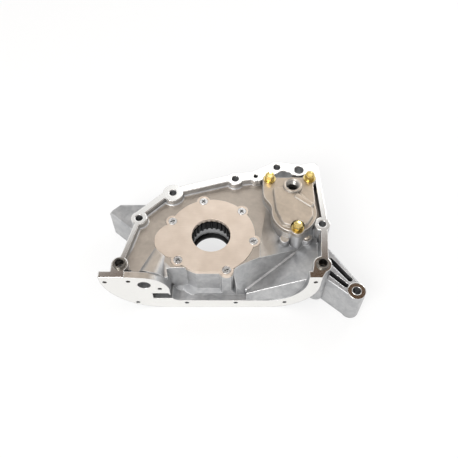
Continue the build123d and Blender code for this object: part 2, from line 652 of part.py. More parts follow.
def window_cut():
    """Opening of the sump rail, carried back to the pump housing's wall."""
    face = rail_window_face()
    plate = extrude(side_plane(RAIL_BACK_Y) * face, RAIL_T + 1, dir=(0, -1, 0))
    deep = extrude(side_plane(MIDDLE_PLAN[1][1]) * face, MIDDLE_PLAN[1][1] - RAIL_Y + 1, dir=(0, -1, 0))
    plan = prism(((WINDOW_LEFT, RAIL_Y - 1), MIDDLE_CUT_LEFT, *MIDDLE_CUT_RIGHT), SUMP_FLOOR_Z, 1)
    flare = extrude(pump_cover_face(FLARE), FLARE_H, dir=(0, 0, 1),
                    taper=math.degrees(math.atan2(FLARE, FLARE_H)))
    room = (deep & plan) - [slab(pump_cover_face(), SUMP_FLOOR_Z - 1, 2), Pos(0, 0, SUMP_FLOOR_Z) * flare]
    return (plate - lower_right_panel()) + room


def pump_cavity_cut():
    """Rotor pocket, ports, inlet, cover recess, seal bore and screw holes."""
    cuts = [slab(pump_cover_face(COVER_GAP), SEAT_Z, 1)]
    cuts.append(rod(*OUTER_CENTRE, ROTOR_OUT_R + RUN_CLEAR, CAVITY_Z, SEAT_Z + 1))
    cuts.append(rod(0, 0, SEAL_THROAT_R, SEAL_BOSS_Z - 1, CAVITY_Z + 1))
    cuts.append(rod(0, 0, SEAL_R, SEAL_BOSS_Z - 1, SEAL_TOP_Z))
    for turn in (0, 180):
        sector = Polygon((0, 0), *[polar(2 * COVER_R, a) for a in (-PORT_SPAN, 0, PORT_SPAN)], align=None)
        kidney = (Circle(KIDNEY_R_OUT) - Circle(KIDNEY_R_IN)) & sector
        cuts.append(Rot(0, 0, turn) * slab(kidney, CAVITY_Z - KIDNEY_DEPTH, CAVITY_Z + 1))
    cuts.append(rod(INLET_AT[0], INLET_AT[1], INLET_R, INLET_AT[2] - PASSAGE_R, SEAT_Z + 1))
    cuts.append(strip((INLET_AT[0], INLET_AT[1]), (-KIDNEY_R_IN - 3, INLET_AT[1]), PASSAGE_R, PASSAGE_R,
                      CAVITY_Z - KIDNEY_DEPTH, SEAT_Z + 1))
    for angle in SCREW_ANGLES:
        x, y = polar(SCREW_CIRCLE_R, angle)
        cuts.append(rod(x, y, SCREW_R + THREAD_GAP, COVER_TOP_Z - SCREW_LEN - DRILL_TIP, SEAT_Z + 1))
    return cuts


def relief_valve_cut():
    """Valve bore, its head port and the discharge slot to the sump rail."""
    bore = rod(VALVE_X, VALVE_Y, PISTON_R + VALVE_CLEAR, VALVE_BOSS_Z - 1, PISTON_TOP_Z)
    thread = rod(VALVE_X, VALVE_Y, PLUG_THREAD_R + THREAD_GAP, VALVE_BOSS_Z - 1,
                 VALVE_BOSS_Z + PLUG_THREAD_LEN)
    head = rod(VALVE_X, VALVE_Y, VALVE_PORT_R, PISTON_TOP_Z - 1, PISTON_TOP_Z + VALVE_PORT_LEN)
    left, right, z_top = SLOT_TOP
    left_low, right_low, z_low = SLOT_BOTTOM
    outline = make_face(Polyline((left, z_top), (right, z_top), (right_low, z_low), (left_low, z_low),
                                 close=True))
    depth = VALVE_Y - PISTON_R / 2 - RAIL_Y
    slot = extrude(side_plane(VALVE_Y - PISTON_R / 2) * outline, depth + 1, dir=(0, -1, 0))
    return [bore, thread, head, slot]


def tower_cut():
    """Gallery chamber, its pocket towards the block, bolt holes and the cup plug's bore."""
    chamber = slab(gallery_face(CHAMBER_WALL), CHAMBER_Z, 1)
    chamber -= [rod(*place, COLUMN_R, CHAMBER_Z - 1, 2) for place in GALLERY_BOLTS]
    seat = slab(gallery_plate_face(-SEAT_GAP), GALLERY_SEAT_Z, 1)
    cuts = [seat, chamber, rod(*POCKET_AT, POCKET_R, CHAMBER_Z, 1)]
    half = POCKET_TAIL / 2
    tail_y = COVER_BACK_Y + half
    cuts.append(strip((POCKET_AT[0], tail_y), (POCKET_TAIL_X, tail_y), half, half, -POCKET_TAIL_DEPTH, 1))
    throat = (POCKET_AT[0], COVER_BACK_Y - 2 * CHAMBER_WALL)
    cuts.append(strip(throat, POCKET_AT, POCKET_R / 2, POCKET_R / 2, CHAMBER_Z, 1))
    for place in GALLERY_BOLTS:
        cuts.append(rod(*place, M6_R + THREAD_GAP, FLANGE_TOP_Z - BOLT_LEN - 2, 1))
    cuts.append(rod(*CUP_AT, CUP_R, CUP_BOSS_Z - CUP_LEN - 1, CUP_BOSS_Z + 1))
    cuts.append(rod(*GALLERY_PORT, DRILL_PLUG_R, TOWER_Z - 1, TOWER_Z + DRILL_PLUG_LEN))
    cuts.append(rod(*GALLERY_PORT, DRILL_R, TOWER_Z, CHAMBER_Z + 1))
    return cuts


def hole_cuts():
    """Bolt holes of the block flange, the sump rail, the pickup and the arm."""
    bolts = (HOLE_A, HOLE_B, HOLE_C, HOLE_D, HOLE_F, HOLE_H, HOLE_I)
    cuts = [rod(*hole, BOLT_R, FOOT_Z, 1) for hole in bolts]
    cuts.append(rod(*HOLE_E, SMALL_R, FOOT_Z, 1))
    cuts.append(rod(*HOLE_G, LARGE_R, FOOT_Z, 1))
    for hole in (HOLE_A, HOLE_I):
        cuts.append(rod(*hole, SLEEVE_R, -SLEEVE_SEAT, 1))
    taps = mirrored(*LOW_TAPS) + list(PORT_BOLTS)
    cuts += [rod_y(x, z, SUMP_TAP_R, RAIL_Y - 1, RAIL_Y + SUMP_TAP_DEPTH) for x, z in taps]
    cuts += [rod_y(x, z, SUMP_TAP_R, RAIL_Y - 1, RAIL_BACK_Y + 1) for x, z in mirrored(SIDE_TAP)]
    cuts.append(rod(*ARM_END, ARM_END_HOLE_R, FOOT_Z - 1, ARM_TOP_Z + 1))
    return cuts


def arm_solid():
    """Bracket arm: a deep bar with two grooves, from the lower right bolt to its end boss."""
    corners = [Pos(*place) * Circle(ARM_CORNER_R) for place in (ARM_ROOT_UP, ARM_ROOT_LOW, ARM_ROOT_IN)]
    end = Pos(*ARM_END) * Circle(ARM_END_R - ARM_RELIEF)
    edges = []
    for circle in corners + [end]:
        edges += circle.edges()
    top = ARM_TOP_Z - ARM_RELIEF
    bar = round_edges_at(slab(make_hull(edges), FOOT_Z, top), top, ARM_EDGE)
    bar += rod(*ARM_END, ARM_END_R, FOOT_Z, ARM_TOP_Z)
    for start, end in ARM_GROOVES:
        half = ARM_GROOVE_W / 2
        bar -= strip(start, end, half, half, ARM_GROOVE_Z, 0)
        bar -= rod(*start, half, ARM_GROOVE_Z, 0)
        bar -= rod(*end, half, ARM_GROOVE_Z, 0)
    return bar


def side_block_solid():
    """Block beside the upper left wall, open on its front side with one rib across."""
    face = make_face(Polyline(*BLOCK_OUTLINE, close=True))
    block = round_edges_at(slab(face, FOOT_Z, BLOCK_TOP_Z), BLOCK_TOP_Z, BLOCK_EDGE)
    hollow = slab(offset(face, -BLOCK_WALL), FOOT_Z - 1, BLOCK_TOP_Z - BLOCK_WALL)
    hollow -= strip(*BLOCK_RIB, FRONT_RIB_T / 2, FRONT_RIB_T / 2, FOOT_Z - 1, BLOCK_TOP_Z)
    return block - hollow


def front_pockets():
    """Hollows in the front side, behind the sloped panels."""
    right = prism(RIGHT_FRONT_POCKET, FRONT_Z - 1, 0) - above_panel(WALL + 1)
    left = prism(LEFT_FRONT_POCKET, FRONT_Z - 1, LEFT_POCKET_TOP)
    return [right, left]


def build_body():
    valve_boss = rod(VALVE_X, VALVE_Y, VALVE_BOSS_R, VALVE_BOSS_Z, VALVE_BOSS_TOP_Z)
    body = join([flange_solid(), sump_side_solid(), rail_solid(), drum_solid(), tower_solid(),
                 side_block_solid(), arm_solid(), suction_gallery(), valve_boss])
    for cut in (tray_cut(), floor_slope_cut(), right_cavity_cut(), left_pocket_cut(), window_cut()):
        body -= cut
    body += [ridge()] + rail_pads()
    body -= front_pockets()
    body -= pump_cavity_cut() + relief_valve_cut() + tower_cut() + hole_cuts()
    body -= suction_passage()
    return body


# ================================================================ pump internals
def inner_rotor():
    """Inner rotor: the equidistant of an epitrochoid outside, a splined bore inside."""
    arcs = TEETH_IN * ARCS_PER_TOOTH
    turn = 2 * math.pi / arcs
    edges = [ThreePointArc(trochoid_point(i * turn), trochoid_point((i + 0.5) * turn),
                           trochoid_point((i + 1) % arcs * turn)) for i in range(arcs)]
    rotor = slab(make_face(edges), ROTOR_TOP_Z - ROTOR_T, ROTOR_TOP_Z)
    rotor -= rod(0, 0, SPLINE_MAJOR_R, ROTOR_TOP_Z - ROTOR_T - 1, ROTOR_TOP_Z + 1)
    return Rot(0, 0, -90) * (rotor + spline_teeth())


def trochoid_point(t):
    """Point of the inner rotor's outline: the trochoid moved inwards by the lobe radius."""
    x = LOBE_CIRCLE_R * math.cos(t) + ECCENTRICITY * math.cos(TEETH_OUT * t)
    y = LOBE_CIRCLE_R * math.sin(t) + ECCENTRICITY * math.sin(TEETH_OUT * t)
    dx = -LOBE_CIRCLE_R * math.sin(t) - TEETH_OUT * ECCENTRICITY * math.sin(TEETH_OUT * t)
    dy = LOBE_CIRCLE_R * math.cos(t) + TEETH_OUT * ECCENTRICITY * math.cos(TEETH_OUT * t)
    speed = math.hypot(dx, dy)
    reach = LOBE_R + TIP_CLEAR
    return (x - reach * dy / speed, y + reach * dx / speed)


def spline_teeth():
    """Teeth of the spline bore, narrower at their tips."""
    root_r = 2 * SPLINE_MAJOR_R - SPLINE_MINOR_R
    half = math.pi * SPLINE_MAJOR_R / SPLINES / 2
    tip = SPLINE_TIP_SHARE * half
    foot = SPLINE_FOOT_SHARE * half
    tooth = Polygon((SPLINE_MINOR_R, -tip), (SPLINE_MINOR_R, tip), (root_r, foot), (root_r, -foot),
                    align=None)
    return [Rot(0, 0, 360 * i / SPLINES) * slab(tooth, ROTOR_TOP_Z - ROTOR_T, ROTOR_TOP_Z)
            for i in range(SPLINES)]


def outer_rotor():
    """Outer rotor: round lobes inside a plain ring, on the eccentric centre."""
    hole = Circle(POCKET_BOTTOM_R)
    for lobe in range(TEETH_OUT):
        hole -= Pos(*polar(LOBE_CIRCLE_R, 360 * lobe / TEETH_OUT - 90)) * Circle(LOBE_R)
    ring = Circle(ROTOR_OUT_R) - hole
    return Pos(*OUTER_CENTRE) * slab(ring, ROTOR_TOP_Z - ROTOR_T, ROTOR_TOP_Z)


def pump_cover():
    plate = slab(pump_cover_face(), SEAT_Z, COVER_TOP_Z)
    plate -= rod(0, 0, CRANK_HOLE_R, SEAT_Z - 1, COVER_TOP_Z + 1)
    for angle in SCREW_ANGLES:
        x, y = polar(SCREW_CIRCLE_R, angle)
        plate -= rod(x, y, SCREW_R + 2 * THREAD_GAP, SEAT_Z - 1, COVER_TOP_Z + 1)
        plate -= screw_head(x, y, THREAD_GAP)
    return plate


def screw_head(x, y, grow=0.0):
    """Countersunk head, flush with the cover's top."""
    cone = Cone(SCREW_R + grow, SCREW_HEAD_R + grow, SCREW_HEAD_T, align=(CENTRE, CENTRE, Align.MAX))
    return Pos(x, y, COVER_TOP_Z) * cone


def cover_screws():
    screws = []
    for angle in SCREW_ANGLES:
        x, y = polar(SCREW_CIRCLE_R, angle)
        screws.append(screw_head(x, y) + rod(x, y, SCREW_R, COVER_TOP_Z - SCREW_LEN, COVER_TOP_Z - 1))
    return screws


# ================================================================ crank seal
def seal_case():
    """Pressed steel ring of the crank seal, an L in section."""
    ring = rod(0, 0, SEAL_R, SEAL_BOSS_Z, SEAL_TOP_Z)
    ring -= rod(0, 0, SEAL_R - SEAL_SHEET, SEAL_BOSS_Z + SEAL_SHEET, SEAL_TOP_Z + 1)
    return ring - rod(0, 0, SEAL_CASE_HOLE_R, SEAL_BOSS_Z - 1, SEAL_TOP_Z + 1)


def seal_lip():
    """Rubber lip bonded to the case, with a groove for the garter spring."""
    low = SEAL_BOSS_Z + SEAL_SHEET
    web = low + LIP_WEB_T
    high = SEAL_TOP_Z - LIP_DROP
    groove_r = LIP_R + GARTER_AT
    groove_z = SEAL_TOP_Z - GARTER_DROP
    outline = Polyline(
        (SEAL_R - SEAL_SHEET, low), (SEAL_R - SEAL_SHEET, web), (groove_r, web),
        (groove_r, groove_z - GARTER_R), (groove_r - GARTER_R, groove_z), (groove_r, groove_z + GARTER_R),
        (groove_r, high), (LIP_R + LIP_TOP_IN, high), (LIP_R, high - LIP_EDGE_DROP),
        (LIP_R + LIP_FOOT_IN, low), close=True)
    return revolve(make_face(Plane.XZ * outline), Axis.Z)


def garter_spring():
    """Ring of the garter spring, square in section, seated in the lip's groove."""
    section = Plane.XZ * Pos(LIP_R + GARTER_AT, SEAL_TOP_Z - GARTER_DROP) * RegularPolygon(GARTER_R, 4)
    return revolve(section, Axis.Z)


# ================================================================ relief valve
def relief_piston():
    piston = rod(VALVE_X, VALVE_Y, PISTON_R, PISTON_TOP_Z - PISTON_LEN, PISTON_TOP_Z - PISTON_REST)
    hollow = rod(VALVE_X, VALVE_Y, PISTON_R - PISTON_WALL, PISTON_TOP_Z - PISTON_LEN - 1,
                 PISTON_TOP_Z - PISTON_CROWN)
    return piston - hollow


def relief_spring():
    """Helical spring from the piston's crown to the plug's pocket."""
    low = VALVE_BOSS_Z + PLUG_THREAD_LEN - PLUG_POCKET + SPRING_WIRE_R
    high = PISTON_TOP_Z - PISTON_CROWN - SPRING_WIRE_R
    height = high - low
    path = Helix(height / SPRING_TURNS, height, SPRING_COIL_R)
    section = Plane(origin=path @ 0, z_dir=path % 0) * RegularPolygon(SPRING_WIRE_R, 4)
    wire = sweep(section, path, is_frenet=True)
    return Pos(VALVE_X, VALVE_Y, low) * wire


def relief_plug():
    """Hexagon plug that closes the valve bore and holds the spring."""
    seat = VALVE_BOSS_Z - PLUG_WASHER_T
    top = VALVE_BOSS_Z + PLUG_THREAD_LEN
    thread = rod(VALVE_X, VALVE_Y, PLUG_THREAD_R, seat, top)
    outline = RegularPolygon(PLUG_HEX / 2, 6, major_radius=False)
    hexagon = Pos(VALVE_X, VALVE_Y, seat - PLUG_HEX_T) * extrude(outline, PLUG_HEX_T)
    return thread + hexagon - rod(VALVE_X, VALVE_Y, PLUG_POCKET_R, top - PLUG_POCKET, top + 1)


def relief_plug_washer():
    ring = rod(VALVE_X, VALVE_Y, PLUG_WASHER_R, VALVE_BOSS_Z - PLUG_WASHER_T, VALVE_BOSS_Z)
    return ring - rod(VALVE_X, VALVE_Y, PLUG_THREAD_R + THREAD_GAP, VALVE_BOSS_Z - 2 * PLUG_WASHER_T,
                      VALVE_BOSS_Z + 1)


# ================================================================ gallery cover
def gallery_plate_face(inset=0.0):
    """Gallery cover outline with its three bolt ears."""
    face = gallery_face(inset)
    for place in GALLERY_BOLTS:
        face += Pos(*place) * Circle(COLUMN_R - inset)
    return face


def gallery_cover():
    """Cast cover: a flange, a raised dome, the port boss and three bolt seats."""
    flange = slab(gallery_plate_face(), GASKET_TOP_Z, FLANGE_TOP_Z)
    dome = Pos(0, 0, FLANGE_TOP_Z - 1) * extrude(dome_face(), DOME_TOP_Z - FLANGE_TOP_Z + 1, dir=(0, 0, 1),
                                                 taper=DOME_TAPER)
    dome = round_edges_at(dome, DOME_TOP_Z, DOME_EDGE)
    collar = rod(*GALLERY_PORT, GALLERY_PORT_BOSS_R, FLANGE_TOP_Z, PORT_TOP_Z)
    rib_z = DOME_TOP_Z - DOME_EDGE
    rib = bar_between((*DOME_RIB[0], rib_z), (*DOME_RIB[1], rib_z), DOME_RIB_R)
    cover = flange + dome + round_edges_at(collar, PORT_TOP_Z, DOME_EDGE) + rib
    hollow = slab(offset(dome_face(), -DOME_WALL), GASKET_TOP_Z - 1, DOME_TOP_Z - DOME_WALL)
    cover -= hollow
    cover += rod(*GALLERY_PORT, GALLERY_PORT_BOSS_R, GASKET_TOP_Z, DOME_TOP_Z)
    for place in GALLERY_BOLTS:
        cover += rod(*place, COLUMN_R, GASKET_TOP_Z, FLANGE_TOP_Z)
        cover -= rod(*place, COLUMN_R, FLANGE_TOP_Z, PORT_TOP_Z)
        cover -= rod(*place, M6_R + BOLT_GAP, GASKET_TOP_Z - 1, FLANGE_TOP_Z + 1)
    cover -= rod(*GALLERY_PORT, GALLERY_PORT_R, GASKET_TOP_Z - 1, PORT_TOP_Z + 1)
    chamfer_cone = Cone(GALLERY_PORT_R, GALLERY_PORT_R + GALLERY_PORT_CHAMFER, GALLERY_PORT_CHAMFER,
                        align=(CENTRE, CENTRE, Align.MAX))
    return cover - Pos(*GALLERY_PORT, PORT_TOP_Z) * chamfer_cone


def dome_face():
    """Raised part of the gallery cover: the left lobe and the bottom, clear of the upper right corner."""
    return make_face(FilletPolyline(*DOME_CORNERS, radius=DOME_RADII, close=True))


def gallery_gasket():
    low = GALLERY_SEAT_Z - 1
    high = GASKET_TOP_Z + 1
    gasket = slab(gallery_plate_face(), GALLERY_SEAT_Z, GASKET_TOP_Z)
    gasket -= slab(gallery_face(CHAMBER_WALL), low, high) - [rod(*place, COLUMN_R, low, high)
                                                            for place in GALLERY_BOLTS]
    for place in GALLERY_BOLTS:
        gasket -= rod(*place, M6_R + BOLT_GAP, low, high)
    return gasket


def gallery_flat_washers():
    return [rod(*place, WASHER_R, FLANGE_TOP_Z, FLANGE_TOP_Z + WASHER_T)
            - rod(*place, M6_R + BOLT_GAP, 0, FLANGE_TOP_Z + 2 * WASHER_T) for place in GALLERY_BOLTS]


def gallery_spring_washers():
    low = FLANGE_TOP_Z + WASHER_T
    rings = []
    for x, y in GALLERY_BOLTS:
        ring = rod(x, y, SPRING_WASHER_R, low, low + SPRING_WASHER_T)
        ring -= rod(x, y, M6_R + BOLT_GAP, 0, low + 2 * SPRING_WASHER_T)
        split = Box(2 * SPRING_WASHER_R - 2 * M6_R, SPRING_WASHER_SPLIT, 3 * SPRING_WASHER_T)
        rings.append(ring - Pos(x + SPRING_WASHER_R, y, low) * Rot(SPRING_WASHER_LEAN, 0, 0) * split)
    return rings


def gallery_bolts():
    seat = FLANGE_TOP_Z + WASHER_T + SPRING_WASHER_T
    bolts = []
    for x, y in GALLERY_BOLTS:
        head = Pos(x, y, seat) * extrude(RegularPolygon(BOLT_HEX / 2, 6, major_radius=False), BOLT_HEAD_T)
        bolts.append(head + rod(x, y, M6_R, FLANGE_TOP_Z - BOLT_LEN, seat + 1))
    return bolts


# ================================================================ small parts
def dowel_sleeves():
    return [rod(*hole, SLEEVE_R, -SLEEVE_SEAT, SLEEVE_PROUD)
            - rod(*hole, SLEEVE_BORE_R, -SLEEVE_SEAT - 1, SLEEVE_PROUD + 1) for hole in (HOLE_A, HOLE_I)]


def cup_plug():
    """Pressed cup that closes a cross drilling beside the tower."""
    cup = rod(*CUP_AT, CUP_R, CUP_BOSS_Z - CUP_LEN, CUP_BOSS_Z - CUP_SUNK)
    return cup - rod(*CUP_AT, CUP_R - CUP_T, CUP_BOSS_Z - CUP_LEN + CUP_T, CUP_BOSS_Z + 1)


def gallery_plug():
    """Socket plug that closes the gallery's drilling on the front side."""
    plug = rod(*GALLERY_PORT, DRILL_PLUG_R, TOWER_Z, TOWER_Z + DRILL_PLUG_LEN)
    socket = extrude(RegularPolygon(DRILL_SOCKET / 2, 6, major_radius=False), DRILL_PLUG_LEN / 2)
    return plug - Pos(*GALLERY_PORT, TOWER_Z) * socket


# ================================================================ output
PARTS = {
    "pump_body": build_body,
    "pump_cover": pump_cover,
    "cover_screws": cover_screws,
    "inner_rotor": inner_rotor,
    "outer_rotor": outer_rotor,
    "seal_case": seal_case,
    "seal_lip": seal_lip,
    "garter_spring": garter_spring,
    "relief_piston": relief_piston,
    "relief_spring": relief_spring,
    "relief_plug": relief_plug,
    "relief_plug_washer": relief_plug_washer,
    "gallery_cover": gallery_cover,
    "gallery_cover_gasket": gallery_gasket,
    "gallery_bolts": gallery_bolts,
    "gallery_flat_washers": gallery_flat_washers,
    "gallery_spring_washers": gallery_spring_washers,
    "dowel_sleeves": dowel_sleeves,
    "cup_plug": cup_plug,
    "gallery_plug": gallery_plug,
}

for name, make in PARTS.items():
    made = make()
    if isinstance(made, list):
        made = Compound(children=[piece.solid() for piece in made])
    export_step(made, f"parts/{name}.step")
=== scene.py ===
# %% [markdown]
# # An engine oil pump in a front cover
#
# The part is an aluminium casting that closes the front of an engine. It carries a gerotor pump
# on the crankshaft, a relief valve, a crank seal, a bolted gallery cover and a bracket arm.
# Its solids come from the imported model. This lesson gives each metal its own finish, which tells
# how the surface was made, and then makes the small forms that a plain solid lacks.

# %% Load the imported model
import bpy
import bmesh
import json
import math
from mathutils import Matrix, Vector

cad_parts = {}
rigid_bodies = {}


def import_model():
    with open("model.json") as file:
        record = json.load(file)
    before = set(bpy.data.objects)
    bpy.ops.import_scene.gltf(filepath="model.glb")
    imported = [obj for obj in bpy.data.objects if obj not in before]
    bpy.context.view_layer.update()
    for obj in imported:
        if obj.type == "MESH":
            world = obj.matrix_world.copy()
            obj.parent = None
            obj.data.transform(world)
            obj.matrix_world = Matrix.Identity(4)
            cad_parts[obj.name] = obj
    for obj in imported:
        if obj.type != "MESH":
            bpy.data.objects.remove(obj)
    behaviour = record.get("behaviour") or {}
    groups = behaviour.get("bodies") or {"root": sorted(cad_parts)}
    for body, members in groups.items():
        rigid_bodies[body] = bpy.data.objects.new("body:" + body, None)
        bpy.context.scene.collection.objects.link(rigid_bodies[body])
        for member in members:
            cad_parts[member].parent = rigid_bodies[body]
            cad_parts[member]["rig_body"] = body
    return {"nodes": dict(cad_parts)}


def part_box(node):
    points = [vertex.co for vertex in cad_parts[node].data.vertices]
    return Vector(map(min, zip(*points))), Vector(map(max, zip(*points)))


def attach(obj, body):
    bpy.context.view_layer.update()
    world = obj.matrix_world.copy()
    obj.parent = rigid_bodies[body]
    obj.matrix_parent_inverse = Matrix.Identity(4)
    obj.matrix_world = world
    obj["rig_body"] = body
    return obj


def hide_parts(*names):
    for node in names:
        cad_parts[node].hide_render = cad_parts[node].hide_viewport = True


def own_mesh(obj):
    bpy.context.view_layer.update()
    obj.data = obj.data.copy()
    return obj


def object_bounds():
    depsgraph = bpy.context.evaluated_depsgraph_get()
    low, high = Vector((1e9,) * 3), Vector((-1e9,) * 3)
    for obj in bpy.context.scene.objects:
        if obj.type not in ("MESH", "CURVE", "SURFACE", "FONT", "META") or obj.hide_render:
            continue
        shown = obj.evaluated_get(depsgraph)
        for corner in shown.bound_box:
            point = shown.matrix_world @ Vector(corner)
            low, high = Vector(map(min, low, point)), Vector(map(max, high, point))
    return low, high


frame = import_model()
cad_low, cad_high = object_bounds()
nodes = frame["nodes"]
MM = 0.001


def frame_body(node):
    """Name of the moving or fixed body that a CAD node belongs to."""
    return nodes[node]["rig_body"]


print("nodes:", len(nodes), "size in mm:", [round(v / MM, 1) for v in cad_high - cad_low])

# %% [markdown]
# ## Colours and nodes
#
# A colour picker shows sRGB values, but Cycles works with linear light, so one function turns a
# hex value into linear numbers. Nodes could be added one by one, with three or four lines each.
# Here a second small function adds any shader node, sets its properties and fills its inputs, so
# that a material reads as a list of what it is made of. Inputs go by name. A Mix node has several
# inputs of the same name, so its numbers and colours go by their place, which is named below.
# Noise keeps near its middle value of 0.5, so a Map Range that reads from about 0.35 to 0.65
# stretches it to full contrast.

# %% Colour and node helpers
NUMBER_A, NUMBER_B = 2, 3
COLOUR_A, COLOUR_B, COLOUR_OUT = 6, 7, 2


def linear(hex_value):
    """sRGB hex such as "C4B5A3" to linear RGBA."""
    channels = [int(hex_value[i:i + 2], 16) / 255 for i in (0, 2, 4)]
    return [c / 12.92 if c <= 0.04045 else ((c + 0.055) / 1.055) ** 2.4 for c in channels] + [1.0]


def fill(tree, node, inputs):
    """Links the inputs that are given as sockets and sets the others."""
    for key, value in inputs.items():
        if isinstance(value, bpy.types.NodeSocket):
            tree.links.new(value, node.inputs[key])
        else:
            node.inputs[key].default_value = value


def put(tree, kind, inputs=None, **settings):
    """Adds a node, sets its properties, fills its inputs and returns its outputs."""
    node = tree.nodes.new("ShaderNode" + kind)
    for key, value in settings.items():
        setattr(node, key, value)
    fill(tree, node, inputs or {})
    return node.outputs


def start_material(name):
    """A material with an empty Principled surface; returns it with its tree and its shader."""
    material = bpy.data.materials.new(name)
    material.use_nodes = True
    tree = material.node_tree
    return material, tree, tree.nodes["Principled BSDF"]


def finish_nodes(material, *names):
    """Gives CAD nodes one material all over."""
    for name in names:
        data = nodes[name].data
        data.materials.clear()
        data.materials.append(material)


print("mid grey in linear light:", [round(part, 3) for part in linear("808080")])

# %% [markdown]
# ## Milled faces of the casting
#
# The block face, the sump rail and the arm's end are cut flat by a face mill, which leaves them
# smooth and almost like a mirror. They could be painted by hand or cut off as pieces of their own.
# But they lie in a few known planes and look straight out of them, so a mask of position and
# normal finds them, and the mesh stays as it is.

# %% Mask of the milled planes
BLOCK_FACE = (2, 1, 0.0)                  # axis, side that it faces, level
RAIL_FACE = (1, -1, -61.3 * MM)
ARM_FACE = (2, 1, -24 * MM)
PLANE_REACH = 0.05 * MM
SQUARE_ON = 0.95                          # share of the normal that has to point out of the plane


def milled_mask(tree, where, planes):
    """1 on the milled planes, else 0. planes lists (axis, sign, level), in metres."""
    place = put(tree, "SeparateXYZ", {0: where["Object"]})
    facing = put(tree, "SeparateXYZ", {0: where["Normal"]})
    mask = 0.0
    for axis, sign, level in planes:
        near = put(tree, "Math", {0: place[axis], 1: level, 2: PLANE_REACH}, operation="COMPARE")[0]
        turned = put(tree, "Math", {0: facing[axis], 1: sign}, operation="MULTIPLY")[0]
        square = put(tree, "Math", {0: turned, 1: SQUARE_ON}, operation="GREATER_THAN")[0]
        both = put(tree, "Math", {0: near, 1: square}, operation="MULTIPLY")[0]
        mask = put(tree, "Math", {0: mask, 1: both}, operation="MAXIMUM")[0]
    return mask


print("milled planes:", len((BLOCK_FACE, RAIL_FACE, ARM_FACE)))

# %% [markdown]
# ## Skin of a casting
#
# Molten metal takes the grain of its mould, about half a millimetre, and its flow leaves clouds
# some 10 to 20 mm wide with smaller stains inside them. A scan of a real casting could be wrapped
# round it, but three noises of those sizes have no seams and stay sharp from near by.

# %% Grain, stains and clouds
CAST_GRAIN = 1.0 * MM        # real grit is 0.5 mm, drawn a little coarser so that it shows
STAIN = 4.5 * MM
FLOW_PATCH = 17 * MM
STAIN_SHARE = 0.35           # stains in the clouds
GRIT_STAIN = 0.55            # stains in the relief, and the rest of it is grain


def cast_clouds(tree, where):
    """Returns the patches left by the flow, the same with more contrast, and the relief."""
    noise = {"Vector": where["Object"], "Detail": 4.0, "Roughness": 0.6}
    flow = put(tree, "TexNoise", {**noise, "Scale": 1 / FLOW_PATCH, "Distortion": 0.8})[0]
    stain = put(tree, "TexNoise", {**noise, "Scale": 1 / STAIN})[0]
    grain = put(tree, "TexNoise", {**noise, "Scale": 1 / CAST_GRAIN})[0]
    patches = put(tree, "Mix", {0: STAIN_SHARE, NUMBER_A: flow, NUMBER_B: stain})[0]
    clouds = put(tree, "MapRange", {"Value": patches, "From Min": 0.34, "From Max": 0.66})[0]
    grit = put(tree, "Mix", {0: GRIT_STAIN, NUMBER_A: grain, NUMBER_B: stain})[0]
    return patches, clouds, grit


print("cloud, stain and grain in mm:", [round(size / MM, 1) for size in (FLOW_PATCH, STAIN, CAST_GRAIN)])

# %% [markdown]
# ## Painted warm light on level ground
#
# Level ground gets a warm tint, which is painted warm light from the ceiling, and walls keep their grey.
# The tint could be a second shader on top, but a tint in the colour is enough. The normal tells level
# ground, and the height tells above which level the tint lies.

# %% Painted warm light on level ground
WARM_LIGHT_EDGE = 4 * MM            # height over which the painted warm light fades out
LEVEL_GROUND = 0.97          # the normal's Z on ground that is as good as level
WARM_LIGHT_COVER = 0.85
WARM_LIGHT_DIM = 0.80             # brightness of the painted warm light over the darkest clouds


def warm_light_on_level_ground(tree, where, rounded, clouds, grey, warm_light, warm_light_above, level_from):
    """Painted warm light over the grey, above a height, where the normal's Z is over level_from."""
    height = put(tree, "SeparateXYZ", {0: where["Object"]})[2]
    up = put(tree, "SeparateXYZ", {0: rounded})[2]
    level = put(tree, "MapRange", {"Value": up, "From Min": level_from, "From Max": LEVEL_GROUND,
                                   "To Max": WARM_LIGHT_COVER})[0]
    high = put(tree, "MapRange", {"Value": height, "From Min": warm_light_above - WARM_LIGHT_EDGE,
                                  "From Max": warm_light_above})[0]
    # The warm colour on level ground is painted warm light from the ceiling.
    warm_lit = put(tree, "Math", {0: level, 1: high}, operation="MULTIPLY")[0]
    dim_warm_light = [WARM_LIGHT_DIM * part for part in linear(warm_light)]
    warm_light_tint = put(tree, "Mix", {0: clouds, COLOUR_A: dim_warm_light, COLOUR_B: linear(warm_light)},
               data_type="RGBA")[COLOUR_OUT]
    return put(tree, "Mix", {0: warm_lit, COLOUR_A: grey, COLOUR_B: warm_light_tint}, data_type="RGBA")[COLOUR_OUT]


print("film cover:", WARM_LIGHT_COVER, "fades over mm:", round(WARM_LIGHT_EDGE / MM, 1))

# %% [markdown]
# ## Painted shade in corners and painted highlights on rims
#
# The corners of the casting are darkened as painted shade, and its outer edges are brightened as painted
# highlights. The Bevel node turns the normal near an edge without touching the mesh, so the same node
# gives a rounded edge
# and shows where the rim is: there its normal and the flat normal differ. A hollow corner
# has such a difference too, and Ambient Occlusion tells it from a rim, because less air is open
# round it.

# %% Painted shade in corners, painted highlights on rims
CORNER_REACH = 8 * MM
CORNER_SHADE_TONE = 0.62
SHADED_AIR, UNSHADED_AIR = 0.15, 0.75                 # open air in a deep corner and outside it
RIM_INSIDE, RIM_OUTSIDE = 0.72, 0.90      # open air from which an edge counts as a rim
RIM_START, RIM_FULL = 0.993, 0.88         # cosines of 7 and 28 degrees between the two normals


